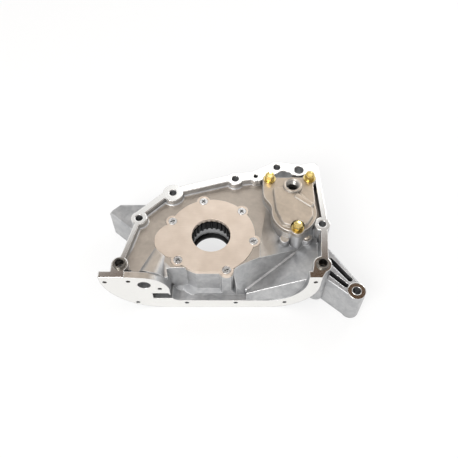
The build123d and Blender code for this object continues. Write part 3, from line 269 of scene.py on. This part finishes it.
def corner_shade_and_rim_highlights(tree, rounded, ground, rim_highlight, rim_highlight_share):
    """Returns the ground with painted shade in its corners and painted highlights on its rims, and a
    mask of those rims.
    """
    # Ambient Occlusion darkens the corners here as painted shade.
    open_air = put(tree, "AmbientOcclusion", {"Distance": CORNER_REACH}, samples=8)["AO"]
    corner_shade = put(tree, "MapRange", {"Value": open_air, "From Min": SHADED_AIR, "From Max": UNSHADED_AIR,
                                  "To Min": CORNER_SHADE_TONE})[0]
    corner_shaded = put(tree, "Mix", {0: 1.0, COLOUR_A: ground, COLOUR_B: corner_shade}, data_type="RGBA",
                blend_type="MULTIPLY")[COLOUR_OUT]
    # Below, open rims where the bevelled and flat normals differ are brightened with a near-white colour
    # as painted highlights.
    flat = put(tree, "NewGeometry")["True Normal"]
    same = put(tree, "VectorMath", {0: rounded, 1: flat}, operation="DOT_PRODUCT")["Value"]
    bent = put(tree, "MapRange", {"Value": same, "From Min": RIM_START, "From Max": RIM_FULL})[0]
    outer = put(tree, "MapRange", {"Value": open_air, "From Min": RIM_INSIDE,
                                   "From Max": RIM_OUTSIDE, "To Max": rim_highlight_share})[0]
    rim_highlights = put(tree, "Math", {0: bent, 1: outer}, operation="MULTIPLY")[0]
    skin = put(tree, "Mix", {0: rim_highlights, COLOUR_A: corner_shaded, COLOUR_B: linear(rim_highlight)},
               data_type="RGBA")[COLOUR_OUT]
    return skin, rim_highlights


print("corners reach", round(CORNER_REACH / MM), "mm")

# %% [markdown]
# ## Cast aluminium
#
# The layers above come together here: clouds of grey, painted warm light on level ground, painted shade
# in corners and painted highlights on rims, and last the milled planes, which are paler, smoother and
# without relief. Two castings use them, each with its own greys and edges, so one function with plain
# arguments makes both.

# %% Body and gallery cover
CAST_METALLIC = 0.9                       # the skin is partly oxide
CAST_ROUGHNESS = {"From Min": 0.3, "From Max": 0.7, "To Min": 0.32, "To Max": 0.52}
RIM_HIGHLIGHT_ROUGHNESS = 0.26
MILLED_ROUGHNESS = 0.13
MILLED_TONE = "EFEEEB"
RELIEF_STRENGTH = 0.35
RELIEF_DEPTH = 0.45 * MM
FLAT = 0.5                                # height of a surface without relief


def cast_material(name, greys, warm_light, rim_highlight, planes, warm_light_above, level_from, edge_round, rim_highlight_share):
    """Cast aluminium: dark and light grey, painted warm light, painted corner shade, painted rim
    highlights and any milled planes.
    """
    material, tree, shader = start_material(name)
    where = put(tree, "TexCoord")
    rounded = put(tree, "Bevel", {"Radius": edge_round}, samples=8)[0]
    patches, clouds, relief = cast_clouds(tree, where)
    dark, light = (linear(grey) for grey in greys)
    grey = put(tree, "Mix", {0: clouds, COLOUR_A: dark, COLOUR_B: light}, data_type="RGBA")[COLOUR_OUT]
    # Painted warm light on level ground, then painted shade in the corners and painted highlights on the
    # rims.
    ground = warm_light_on_level_ground(tree, where, rounded, clouds, grey, warm_light, warm_light_above, level_from)
    colour, rim_highlights = corner_shade_and_rim_highlights(tree, rounded, ground, rim_highlight, rim_highlight_share)
    rough = put(tree, "MapRange", {"Value": patches, **CAST_ROUGHNESS})[0]
    rough = put(tree, "Mix", {0: rim_highlights, NUMBER_A: rough, NUMBER_B: RIM_HIGHLIGHT_ROUGHNESS})[0]
    metallic = CAST_METALLIC
    if planes:
        milled = milled_mask(tree, where, planes)
        colour = put(tree, "Mix", {0: milled, COLOUR_A: colour, COLOUR_B: linear(MILLED_TONE)},
                     data_type="RGBA")[COLOUR_OUT]
        rough = put(tree, "Mix", {0: milled, NUMBER_A: rough, NUMBER_B: MILLED_ROUGHNESS})[0]
        metallic = put(tree, "Mix", {0: milled, NUMBER_A: CAST_METALLIC, NUMBER_B: 1.0})[0]
        relief = put(tree, "Mix", {0: milled, NUMBER_A: relief, NUMBER_B: FLAT})[0]
    bump = put(tree, "Bump", {"Strength": RELIEF_STRENGTH, "Distance": RELIEF_DEPTH,
                              "Height": relief, "Normal": rounded})[0]
    fill(tree, shader, {"Base Color": colour, "Roughness": rough, "Metallic": metallic, "Normal": bump})
    return material


# Body: sand cast, left as it came from the mould, so it is a matt mid grey with soft clouds.
# The third colour is painted warm light on level ground, and the near-white one paints highlights on the
# rims.
body_metal = cast_material(
    "sand_cast_aluminium", greys=("9D9EA0", "C3C3C3"), warm_light="C2B6A8", rim_highlight="F6F5F3",
    planes=(BLOCK_FACE, RAIL_FACE, ARM_FACE), warm_light_above=-14 * MM, level_from=0.80,
    edge_round=1.4 * MM, rim_highlight_share=0.8)
finish_nodes(body_metal, "pump_body")
# Gallery cover: die cast and washed in oil, so it is smoother, with warmer greys and softer edges; the
# warm light on its level tops and the highlights on its rims are painted.
cover_metal = cast_material(
    "die_cast_cover", greys=("96928D", "C6C0B8"), warm_light="CFBFAC", rim_highlight="F4EFE9",
    planes=(), warm_light_above=5 * MM, level_from=0.78, edge_round=2.0 * MM, rim_highlight_share=0.65)
finish_nodes(cover_metal, "gallery_cover")
print("cast pieces:", body_metal.name, "and", cover_metal.name)

# %% [markdown]
# ## Ground pump cover
#
# The flat plate over the rotors is surface-ground, so it is smooth and even, with fine marks that
# run one way. A gloss stretched along the marks could stand for them, but it shows only near a
# highlight. Noise squeezed along one direction draws the marks themselves.

# %% Ground aluminium plate
GRIND_MARK = 0.8 * MM
GRIND_CLOUD = 22 * MM
GRIND_TURN = math.radians(25)
GRIND_STRETCH = (0.05, 1.0, 1.0)          # a mark is 20 times as long as it is wide
GRIND_DEPTH = 0.1 * MM
GRIND_EDGE = 0.5 * MM
CLOUD_SHARE = 0.75


def ground_material(name, base, light):
    """Aluminium plate from the surface grinder: pale, even, with faint parallel marks."""
    material, tree, shader = start_material(name)
    spot = put(tree, "TexCoord")["Object"]
    along = put(tree, "Mapping", {"Vector": spot, "Scale": GRIND_STRETCH,
                                  "Rotation": (0, 0, GRIND_TURN)})[0]
    marks = put(tree, "TexNoise", {"Vector": along, "Scale": 1 / GRIND_MARK, "Detail": 4.0})[0]
    cloud = put(tree, "TexNoise", {"Vector": spot, "Scale": 1 / GRIND_CLOUD, "Detail": 3.0})[0]
    both = put(tree, "Mix", {0: CLOUD_SHARE, NUMBER_A: marks, NUMBER_B: cloud})[0]
    part = put(tree, "MapRange", {"Value": both, "From Min": 0.36, "From Max": 0.64})[0]
    colour = put(tree, "Mix", {0: part, COLOUR_A: linear(base), COLOUR_B: linear(light)},
                 data_type="RGBA")[COLOUR_OUT]
    rough = put(tree, "MapRange", {"Value": marks, "From Min": 0.3, "From Max": 0.7,
                                   "To Min": 0.32, "To Max": 0.42})[0]
    rounded = put(tree, "Bevel", {"Radius": GRIND_EDGE}, samples=4)[0]
    bump = put(tree, "Bump", {"Strength": 0.08, "Distance": GRIND_DEPTH, "Height": marks,
                              "Normal": rounded})[0]
    fill(tree, shader, {"Base Color": colour, "Roughness": rough, "Metallic": 0.85, "Normal": bump})
    return material


# Pump cover: aluminium plate, ground flat and rinsed with oil, pale and warm with a silky shine.
finish_nodes(ground_material("ground_aluminium", "DCCCBC", "EBDCCD"), "pump_cover")
print("pump cover ground at", round(math.degrees(GRIND_TURN)), "degrees")

# %% [markdown]
# ## Steel, sintered iron, zinc and rubber
#
# The small parts are other metals, rubber and fibre. Each could have a node tree of its own, but
# they differ only in colours, in the size of their patches and in gloss. So one function makes them
# all: the colour wanders over patches of a real size, and painted shade darkens the narrow gaps.

# %% Small-part finishes
GAP_REACH = 2 * MM
GAP_SHADE_TONE = 0.35
GLOSS_SPREAD = 0.06


def small_material(name, dark, light, patch_size, roughness, metallic=1.0, edge=0.3 * MM):
    """A small part's finish: two hexes over patches, with painted shade in its narrow gaps."""
    material, tree, shader = start_material(name)
    spot = put(tree, "TexCoord")["Object"]
    wander = put(tree, "TexNoise", {"Vector": spot, "Scale": 1 / patch_size, "Detail": 4.0,
                                    "Roughness": 0.6})[0]
    part = put(tree, "MapRange", {"Value": wander, "From Min": 0.35, "From Max": 0.65})[0]
    colour = put(tree, "Mix", {0: part, COLOUR_A: linear(dark), COLOUR_B: linear(light)},
                 data_type="RGBA")[COLOUR_OUT]
    # Ambient Occlusion darkens the narrow gaps as painted shade.
    open_air = put(tree, "AmbientOcclusion", {"Distance": GAP_REACH}, samples=8)["AO"]
    gap_shade = put(tree, "MapRange", {"Value": open_air, "From Min": 0.25, "From Max": 0.8,
                                  "To Min": GAP_SHADE_TONE})[0]
    shaded = put(tree, "Mix", {0: 1.0, COLOUR_A: colour, COLOUR_B: gap_shade}, data_type="RGBA",
                 blend_type="MULTIPLY")[COLOUR_OUT]
    rough = put(tree, "MapRange", {"Value": wander, "From Min": 0.3, "From Max": 0.7,
                                   "To Min": roughness - GLOSS_SPREAD,
                                   "To Max": roughness + GLOSS_SPREAD})[0]
    rounded = put(tree, "Bevel", {"Radius": edge}, samples=4)[0]
    fill(tree, shader, {"Base Color": shaded, "Roughness": rough, "Metallic": metallic,
                        "Normal": rounded})
    return material


# Turned steel: bare, cut on a lathe, a neutral grey with a soft shine.
turned_steel = small_material("turned_steel", "8C8D8E", "B4B4B3", 5 * MM, 0.30)
finish_nodes(turned_steel, "relief_piston", "relief_plug", "gallery_plug", "garter_spring",
             "relief_plug_washer")
# Dowel sleeves: rolled and hardened steel, darker and browner from its oil.
finish_nodes(small_material("dowel_steel", "6E6A64", "96928B", 4 * MM, 0.32), "dowel_sleeves")
# Rotors: pressed from iron powder and sintered, dark from the oil in their pores, and darkened to nearly
# black as painted shade in the crank bore.
finish_nodes(small_material("sintered_iron", "19191A", "29292A", 1.5 * MM, 0.42),
             "inner_rotor", "outer_rotor")
# Seal case: thin sheet steel, pressed and blackened, a black ring with a faint shine, darkened further
# as painted shade in the crank bore.
finish_nodes(small_material("pressed_seal_steel", "0E0E0F", "19191A", 3 * MM, 0.35), "seal_case")
# Seal lip: moulded nitrile rubber, black and dull, darkened further as painted shade in the crank bore.
finish_nodes(small_material("nitrile_rubber", "060606", "0D0D0D", 2 * MM, 0.6, metallic=0.0), "seal_lip")
# Gasket: pressed fibre, dark and without shine.
finish_nodes(small_material("fibre_gasket", "2E2B28", "45413C", 1.2 * MM, 0.75, metallic=0.0),
             "gallery_cover_gasket")
# Washers: zinc on steel, passivated yellow, so they are golden with paler patches.
yellow_zinc = small_material("yellow_zinc", "BFA353", "EAD79A", 7 * MM, 0.16, edge=0.5 * MM)
finish_nodes(yellow_zinc, "gallery_flat_washers", "gallery_spring_washers")
print("materials so far:", len(bpy.data.materials))

# %% [markdown]
# ## Tools for new pieces
#
# Screws, plugs and threads are turned parts, so an outline spun round an axis makes each of them.
# Revolving it with a modifier would do too, but the operator gives a closed mesh at once. Each
# piece is made on the axis, copied to its places in one mesh, and ends as an object at the origin,
# as the solids from the model do, so that patterns in object space stay where they are.

# %% Spin, copy and finish
WHOLE_TURN = 2 * math.pi
WELD = 1e-6                  # points closer than this, in metres, become one


def turned_solid(outline, steps, level):
    """A closed body of revolution from (radius, height) pairs in mm, its heights above level."""
    form = bmesh.new()
    rim = [form.verts.new((radius * MM, 0, level + height * MM)) for radius, height in outline]
    edges = [form.edges.new(pair) for pair in zip(rim, rim[1:])]
    bmesh.ops.spin(form, geom=rim + edges, cent=(0, 0, 0), axis=(0, 0, 1), angle=WHOLE_TURN,
                   steps=steps, use_merge=True)
    bmesh.ops.remove_doubles(form, verts=form.verts, dist=WELD)
    bmesh.ops.holes_fill(form, edges=[edge for edge in form.edges if edge.is_boundary], sides=0)
    bmesh.ops.recalc_face_normals(form, faces=form.faces)
    return form


def add_form(target, form, x, y, turn):
    """Copies a bmesh into another one, turned about Z and moved to x, y in mm."""
    bmesh.ops.rotate(form, verts=form.verts, cent=(0, 0, 0), matrix=Matrix.Rotation(turn, 3, "Z"))
    bmesh.ops.translate(form, verts=form.verts, vec=(x * MM, y * MM, 0))
    copy = bpy.data.meshes.new("copy")
    form.to_mesh(copy)
    form.free()
    target.from_mesh(copy)
    bpy.data.meshes.remove(copy)


def finished_piece(name, form, material, body):
    """Turns a bmesh into an object with its material, which rides on a body."""
    mesh = bpy.data.meshes.new(name)
    form.to_mesh(mesh)
    form.free()
    mesh.materials.append(material)
    piece = bpy.data.objects.new(name, mesh)
    bpy.context.scene.collection.objects.link(piece)
    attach(piece, body)
    print(name, "faces:", len(mesh.polygons))
    return piece


print("tools ready, welding points within", WELD / MM, "mm")

# %% [markdown]
# ## Cross-recess screws of the pump cover
#
# Six countersunk screws hold the cover, flush with its face. A screw is turned, and its cross is
# then punched. A Boolean could cut the cross, but it leaves thin slivers in a round head. Here the
# flat head is bisected into cells, and the cells of the cross are extruded down and drawn together,
# which gives the tapered recess that a driver needs.

# %% Screws with a cross recess
SCREW_CIRCLE = 50.5
SCREW_ANGLES = (101.4, 43.4, -9.3, -68.7, -138.1, 156.6)
SCREW_TURNS = (50, 45, 10, 20, 48, 15)       # how far each cross happens to be turned
SCREW_OUTLINE = ((2.4, -17), (3.0, -16.4), (3.0, -3.0), (5.2, -0.6), (5.2, -0.35), (4.85, 0))
SCREW_STEPS = 40
CROSS_LENGTH = 5.8
CROSS_WIDTH = 1.7
CROSS_DEPTH = 2.0
CROSS_TAPER = 0.55
COVER_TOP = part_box("cover_screws")[1].z
LEVEL_REACH = 0.01 * MM                      # heights closer than this count as one level
CUT_REACH = 1e-7                             # points closer than this, in metres, lie on the cut


def cross_screw():
    """One screw on the axis, with the top of its head at the height of the cover's face."""
    form = turned_solid(SCREW_OUTLINE, SCREW_STEPS, COVER_TOP)
    for half in (CROSS_WIDTH / 2, CROSS_LENGTH / 2):
        for normal in ((1, 0, 0), (-1, 0, 0), (0, 1, 0), (0, -1, 0)):
            head = [face for face in form.faces if face.calc_center_median().z > COVER_TOP - LEVEL_REACH]
            edges = {edge for face in head for edge in face.edges}
            verts = {vert for face in head for vert in face.verts}
            bmesh.ops.bisect_plane(form, geom=head + list(edges) + list(verts), dist=CUT_REACH,
                                   plane_co=[half * MM * part for part in normal], plane_no=normal)
    cross = []
    for face in form.faces:
        middle = face.calc_center_median()
        nearer, farther = sorted((abs(middle.x), abs(middle.y)))
        inside = nearer < CROSS_WIDTH / 2 * MM and farther < CROSS_LENGTH / 2 * MM
        if inside and middle.z > COVER_TOP - LEVEL_REACH:
            cross.append(face)
    sunk = bmesh.ops.extrude_face_region(form, geom=cross)["geom"]
    bmesh.ops.delete(form, geom=cross, context="FACES")
    low = [part for part in sunk if isinstance(part, bmesh.types.BMVert)]
    bmesh.ops.translate(form, verts=low, vec=(0, 0, -CROSS_DEPTH * MM))
    bmesh.ops.scale(form, verts=low, vec=(CROSS_TAPER, CROSS_TAPER, 1.0))
    return form


# Screws: steel with clear zinc, bright and cool against the warm plate.
screw_steel = small_material("zinc_plated_screw_steel", "C4C4C4", "EDEDEB", 4 * MM, 0.26)
screws = bmesh.new()
for angle, turn in zip(SCREW_ANGLES, SCREW_TURNS):
    reach = math.radians(angle)
    add_form(screws, cross_screw(), SCREW_CIRCLE * math.cos(reach), SCREW_CIRCLE * math.sin(reach),
             math.radians(turn))
screw_set = finished_piece("cross_recess_screws", screws, screw_steel,
                           frame_body("cover_screws"))
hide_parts("cover_screws")

# %% [markdown]
# ## Hexagon bolts of the gallery cover
#
# A forged bolt head has six flats, corners taken off by a round chamfer and a shallow dish in its
# top from the forging punch. A cone could cut the chamfer. A vertex bevel gives it in one step, and
# an inset with a little depth makes the dish. The shank is a turned bar.

# %% Hexagon bolts
BOLT_PLACES = ((71.0, 72.8, 12), (120.0, 74.0, 25), (100.5, 0.0, 4))      # x, y and turn
HEX_ACROSS = 10.0
HEAD_HEIGHT = 5.0
HEAD_CHAMFER = 1.0
DISH_RIM = 0.5
DISH_SLOPE = 1.5
DISH_DEPTH = 1.3
SHANK_R = 3.0
SHANK_TIP_R = 2.4
SHANK_TAPER = 0.6
SHANK_IN_HEAD = 0.5
SHANK_STEPS = 24
bolt_low, bolt_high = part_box("gallery_bolts")
BOLT_SEAT = bolt_high.z - HEAD_HEIGHT * MM
SHANK_END = (bolt_low.z - BOLT_SEAT) / MM


def hexagon_bolt():
    """One bolt on the axis, with its head on the seat."""
    form = bmesh.new()
    corner_r = HEX_ACROSS / 2 / math.cos(math.pi / 6) * MM
    bmesh.ops.create_cone(form, cap_ends=True, segments=6, radius1=corner_r, radius2=corner_r,
                          depth=HEAD_HEIGHT * MM)
    bmesh.ops.translate(form, verts=form.verts, vec=(0, 0, BOLT_SEAT + HEAD_HEIGHT / 2 * MM))
    upper = [vert for vert in form.verts if vert.co.z > BOLT_SEAT + HEAD_HEIGHT / 2 * MM]
    bmesh.ops.bevel(form, geom=upper, offset=HEAD_CHAMFER * MM, affect="VERTICES", segments=3,
                    profile=0.5, material=-1)
    face = max(form.faces, key=lambda f: f.calc_center_median().z)
    bmesh.ops.inset_region(form, faces=[face], thickness=DISH_RIM * MM, depth=0.0)
    bmesh.ops.inset_region(form, faces=[face], thickness=DISH_SLOPE * MM, depth=-DISH_DEPTH * MM)
    shank = ((SHANK_TIP_R, SHANK_END), (SHANK_R, SHANK_END + SHANK_TAPER), (SHANK_R, SHANK_IN_HEAD))
    add_form(form, turned_solid(shank, SHANK_STEPS, BOLT_SEAT), 0, 0, 0)
    return form


bolts = bmesh.new()
for x, y, turn in BOLT_PLACES:
    add_form(bolts, hexagon_bolt(), x, y, math.radians(turn))
bolt_set = finished_piece("hexagon_bolts", bolts, yellow_zinc,
                          frame_body("gallery_bolts"))
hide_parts("gallery_bolts")

# %% [markdown]
# ## Plug beside the gallery tower
#
# A cross drilling is closed by a pressed plug with a domed face, driven into its boss. A flattened
# ball would lack the straight wall that holds it, so its outline is spun like that of the screws.

# %% Pressed plug
PLUG_AT = (113.0, 2.5)
PLUG_OUTLINE = ((3.4, -4.4), (4.55, -4.0), (4.55, 0.2), (4.2, 0.9), (3.4, 1.5), (2.2, 1.9), (1.0, 2.05))
PLUG_STEPS = 36
# Plug: soft tinned steel, pressed and dull, which makes it paler than the casting round it.
tinned_steel = small_material("tinned_steel", "D8CCBC", "F0E6D8", 3 * MM, 0.42, edge=0.4 * MM)
plug_form = bmesh.new()
add_form(plug_form, turned_solid(PLUG_OUTLINE, PLUG_STEPS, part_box("cup_plug")[1].z), *PLUG_AT, 0)
plug = finished_piece("pressed_plug", plug_form, tinned_steel, frame_body("cup_plug"))
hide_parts("cup_plug")

# %% [markdown]
# ## Spring of the relief valve
#
# Round wire is wound on a mandrel. A helix curve with a round section would make it, and would then
# have to be turned into a mesh. Here one circle is spun round the valve's axis and raised a little
# at each step, which gives the whole coil. Its foot stands in the plug, and its top on the piston.

# %% Coil spring
VALVE_AT = (-57.0, -38.0)
COIL_R = 4.6 * MM
COIL_TURNS = 4.5
WIRE_R = 0.9 * MM
WIRE_SIDES = 10
STEPS_PER_TURN = 24

spring_low, spring_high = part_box("relief_spring")
spring_length = spring_high.z - spring_low.z
coil_steps = round(COIL_TURNS * STEPS_PER_TURN)
rise_per_step = (spring_length - 2 * WIRE_R) / coil_steps
coil_form = bmesh.new()
bmesh.ops.create_circle(coil_form, segments=WIRE_SIDES, radius=WIRE_R)
bmesh.ops.rotate(coil_form, verts=coil_form.verts, cent=(0, 0, 0),
                 matrix=Matrix.Rotation(math.pi / 2, 3, "X"))
bmesh.ops.translate(coil_form, verts=coil_form.verts, vec=(COIL_R, 0, spring_low.z + WIRE_R))
bmesh.ops.spin(coil_form, geom=coil_form.verts[:] + coil_form.edges[:], cent=(0, 0, 0),
               axis=(0, 0, 1), dvec=(0, 0, rise_per_step), angle=WHOLE_TURN * COIL_TURNS,
               steps=coil_steps)
open_ends = [edge for edge in coil_form.edges if edge.is_boundary]
bmesh.ops.holes_fill(coil_form, edges=open_ends, sides=0)
bmesh.ops.recalc_face_normals(coil_form, faces=coil_form.faces)
bmesh.ops.translate(coil_form, verts=coil_form.verts, vec=(VALVE_AT[0] * MM, VALVE_AT[1] * MM, 0))
spring = finished_piece("coil_spring", coil_form, turned_steel, frame_body("relief_spring"))
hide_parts("relief_spring")
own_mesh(spring)
print("spring length in mm:", round(spring_length / MM, 2))

# %% [markdown]
# ## Thread in the gallery cover's port
#
# The port in the cover is tapped, and the crests of its thread catch the light. A real thread is a
# helix, which has two open ends to close. Rings at the same pitch look alike at this size, and one
# closed outline spun round the port makes them all.

# %% Port thread
PORT_AT = (98.0, 59.0)
PORT_WALL = 7.15
THREAD_TIP = 6.1
THREAD_TOP = 11.2
THREAD_PITCH = 2.0
THREAD_TURNS = 3
THREAD_ROOT = PORT_WALL - 0.1
THREAD_STEPS = 48

thread_outline = [(PORT_WALL, THREAD_TOP)]
for ring in range(THREAD_TURNS):
    level = THREAD_TOP - ring * THREAD_PITCH
    thread_outline += [(THREAD_TIP, level - THREAD_PITCH / 2), (THREAD_ROOT, level - THREAD_PITCH)]
thread_outline += [(PORT_WALL, THREAD_TOP - THREAD_TURNS * THREAD_PITCH), (PORT_WALL, THREAD_TOP)]
# Thread: aluminium cut by a tap, bright on its flanks.
cut_aluminium = small_material("cut_aluminium", "827F7B", "A5A29E", 2 * MM, 0.30, edge=0.1 * MM)
thread_form = bmesh.new()
add_form(thread_form, turned_solid(thread_outline, THREAD_STEPS, 0.0), *PORT_AT, 0)
finished_piece("port_thread", thread_form, cut_aluminium, frame_body("gallery_cover"))

# %% [markdown]
# ## Rib of the gallery cover
#
# A broad rib beside the port stiffens the cover and feeds metal to its corner. Joined to the cover
# by a Boolean it would break up the cover's mesh. A bar with rounded edges, half sunk in the dome
# and of the same metal, looks like one casting with it.

# %% Cover rib
RIB_FROM = Vector((100.0, 45.5)) * MM
RIB_TO = Vector((120.5, 28.8)) * MM
RIB_WIDTH = 8.4 * MM
RIB_FOOT = 5.5 * MM
RIB_TOP = 12.7 * MM
RIB_ROUND = 2.6 * MM

rib_form = bmesh.new()
bmesh.ops.create_cube(rib_form, size=1.0)
run = RIB_TO - RIB_FROM
bmesh.ops.scale(rib_form, verts=rib_form.verts, vec=(run.length, RIB_WIDTH, RIB_TOP - RIB_FOOT))
open_edges = [edge for edge in rib_form.edges if max(vert.co.z for vert in edge.verts) > 0]
bmesh.ops.bevel(rib_form, geom=open_edges, offset=RIB_ROUND, affect="EDGES", segments=5, profile=0.5,
                material=-1)
bmesh.ops.rotate(rib_form, verts=rib_form.verts, cent=(0, 0, 0),
                 matrix=Matrix.Rotation(math.atan2(run.y, run.x), 3, "Z"))
middle = (RIB_FROM + RIB_TO) / 2
bmesh.ops.translate(rib_form, verts=rib_form.verts, vec=(*middle, (RIB_FOOT + RIB_TOP) / 2))
finished_piece("cover_rib", rib_form, cover_metal, frame_body("gallery_cover"))

# %% [markdown]
# ## Floor
#
# The part lies on white paper. Plain white would turn grey round the part, because metal shades
# it, and more lamps would burn the metal. So the paper glows a little where the camera or a
# mirroring surface sees it, and gives no extra light to the part. Its shadow stays.

# %% Paper floor
PAPER_GLOW = 0.7
FLOOR_GAP = 0.05 * MM
FLOOR_HALF = 4.0


def floor_paper():
    """White paper. Seen or mirrored it is part glow, so that it stays pale inside the shadow."""
    material, tree, shader = start_material("white_paper")
    fill(tree, shader, {"Base Color": linear("F4F4F3"), "Roughness": 0.9})
    rays = put(tree, "LightPath")
    seen = rays["Is Camera Ray"]
    for kind in ("Is Glossy Ray", "Is Transmission Ray"):
        seen = put(tree, "Math", {0: seen, 1: rays[kind]}, operation="MAXIMUM")[0]
    share = put(tree, "Math", {0: seen, 1: PAPER_GLOW}, operation="MULTIPLY")[0]
    glow = put(tree, "Emission", {"Color": linear("FFFFFF"), "Strength": 1.0})[0]
    both = put(tree, "MixShader", {0: share, 1: shader.outputs[0], 2: glow})[0]
    tree.links.new(both, tree.nodes["Material Output"].inputs["Surface"])
    return material


def make_floor(level, half):
    """A square of paper at a height, its middle under the part."""
    mesh = bpy.data.meshes.new("studio_floor")
    form = bmesh.new()
    bmesh.ops.create_grid(form, x_segments=1, y_segments=1, size=half)
    bmesh.ops.translate(form, verts=form.verts, vec=(0, 0, level))
    form.to_mesh(mesh)
    form.free()
    floor = bpy.data.objects.new("studio_floor", mesh)
    bpy.context.scene.collection.objects.link(floor)
    mesh.materials.append(floor_paper())
    return floor


make_floor(cad_low.z - FLOOR_GAP, FLOOR_HALF)
print("floor at mm:", round((cad_low.z - FLOOR_GAP) / MM, 2))

# %% [markdown]
# ## Surround
#
# Bare metal shows what stands round it more than its own colour. A whole room could be built for
# it to mirror, but two tones are enough: white walls, and a darker, warm ceiling straight above.
# Level milled faces close to the viewer mirror the ceiling and turn brown, and the same faces
# further back mirror the white wall.

# %% White walls and a warm ceiling
WALL_END = math.radians(52.5)
CEILING_START = math.radians(59.0)
CEILING_LEAN = 0.04         # the ceiling comes lower on the right

world = bpy.data.worlds.new("studio_surround")
bpy.context.scene.world = world
world.use_nodes = True
sky = world.node_tree
look = put(sky, "SeparateXYZ", {0: put(sky, "TexCoord")["Generated"]})
lean = put(sky, "Math", {0: look[0], 1: CEILING_LEAN}, operation="MULTIPLY")[0]
height = put(sky, "Math", {0: look[2], 1: lean}, operation="ADD")[0]
ramp = put(sky, "MapRange", {"Value": height, "From Min": math.sin(WALL_END),
                             "From Max": math.sin(CEILING_START)}, interpolation_type="SMOOTHSTEP")[0]
tone = put(sky, "Mix", {0: ramp, COLOUR_A: linear("FFFFFF"), COLOUR_B: linear("543B22")},
           data_type="RGBA")[COLOUR_OUT]
fill(sky, sky.nodes["Background"], {"Color": tone, "Strength": 1.0})
print("wall to", round(math.degrees(WALL_END), 1), "degrees, ceiling from",
      round(math.degrees(CEILING_START), 1))

# %% [markdown]
# ## Lamps
#
# One broad lamp from the front left models the walls of the casting. Three weak ones fill in: from
# above, from behind, where the level ground mirrors them, and from the right. They stay weak,
# because level metal that mirrors a lamp turns white at once.

# %% Soft lamps
LAMPS = (                                    # name, place and aim in metres, width, watts
    ("front_softbox", (-0.7, -1.1, 1.2), (0, 0, 0), 0.8, 17),
    ("top_softbox", (-0.1, 0.12, 1.2), (0, 0, 0), 0.5, 1.6),
    ("back_softbox", (0.1, 1.0, 1.05), (0, 0, 0), 0.5, 0.6),
    ("right_strip", (0.75, 0.75, 0.6), (0.05, 0, 0), 0.3, 2.0),
)


def soft_lamp(name, place, aim, width, power):
    """A white square lamp that looks at a point."""
    lamp = bpy.data.lights.new(name, "AREA")
    lamp.shape = "SQUARE"
    lamp.size = width
    lamp.energy = power
    holder = bpy.data.objects.new(name, lamp)
    bpy.context.scene.collection.objects.link(holder)
    holder.location = place
    holder.rotation_euler = (Vector(aim) - Vector(place)).to_track_quat("-Z", "Y").to_euler()


for lamp_values in LAMPS:
    soft_lamp(*lamp_values)

# %% [markdown]
# ## Camera
#
# The view is from above the sump side, 56 degrees over the table, at about 65 cm. From there the
# tray, the rail and the crank hole all show.

# %% Camera
ELEVATION = math.radians(56.2)
DISTANCE = 0.65525
AIM = Vector((0.0211, 0.0032, 0.0))
SENSOR_WIDTH = 36.0
FOCAL_PIXELS = 560
FRAME_PIXELS = 458

lens = bpy.data.cameras.new("camera")
lens.sensor_width = SENSOR_WIDTH
lens.lens = SENSOR_WIDTH * FOCAL_PIXELS / FRAME_PIXELS
camera = bpy.data.objects.new("camera", lens)
bpy.context.scene.collection.objects.link(camera)
camera.location = AIM + DISTANCE * Vector((0, -math.cos(ELEVATION), math.sin(ELEVATION)))
camera.rotation_euler = (math.pi / 2 - ELEVATION, 0, 0)
bpy.context.scene.camera = camera
bpy.context.scene.view_settings.view_transform = "Standard"
print("lens in mm:", round(lens.lens, 1))
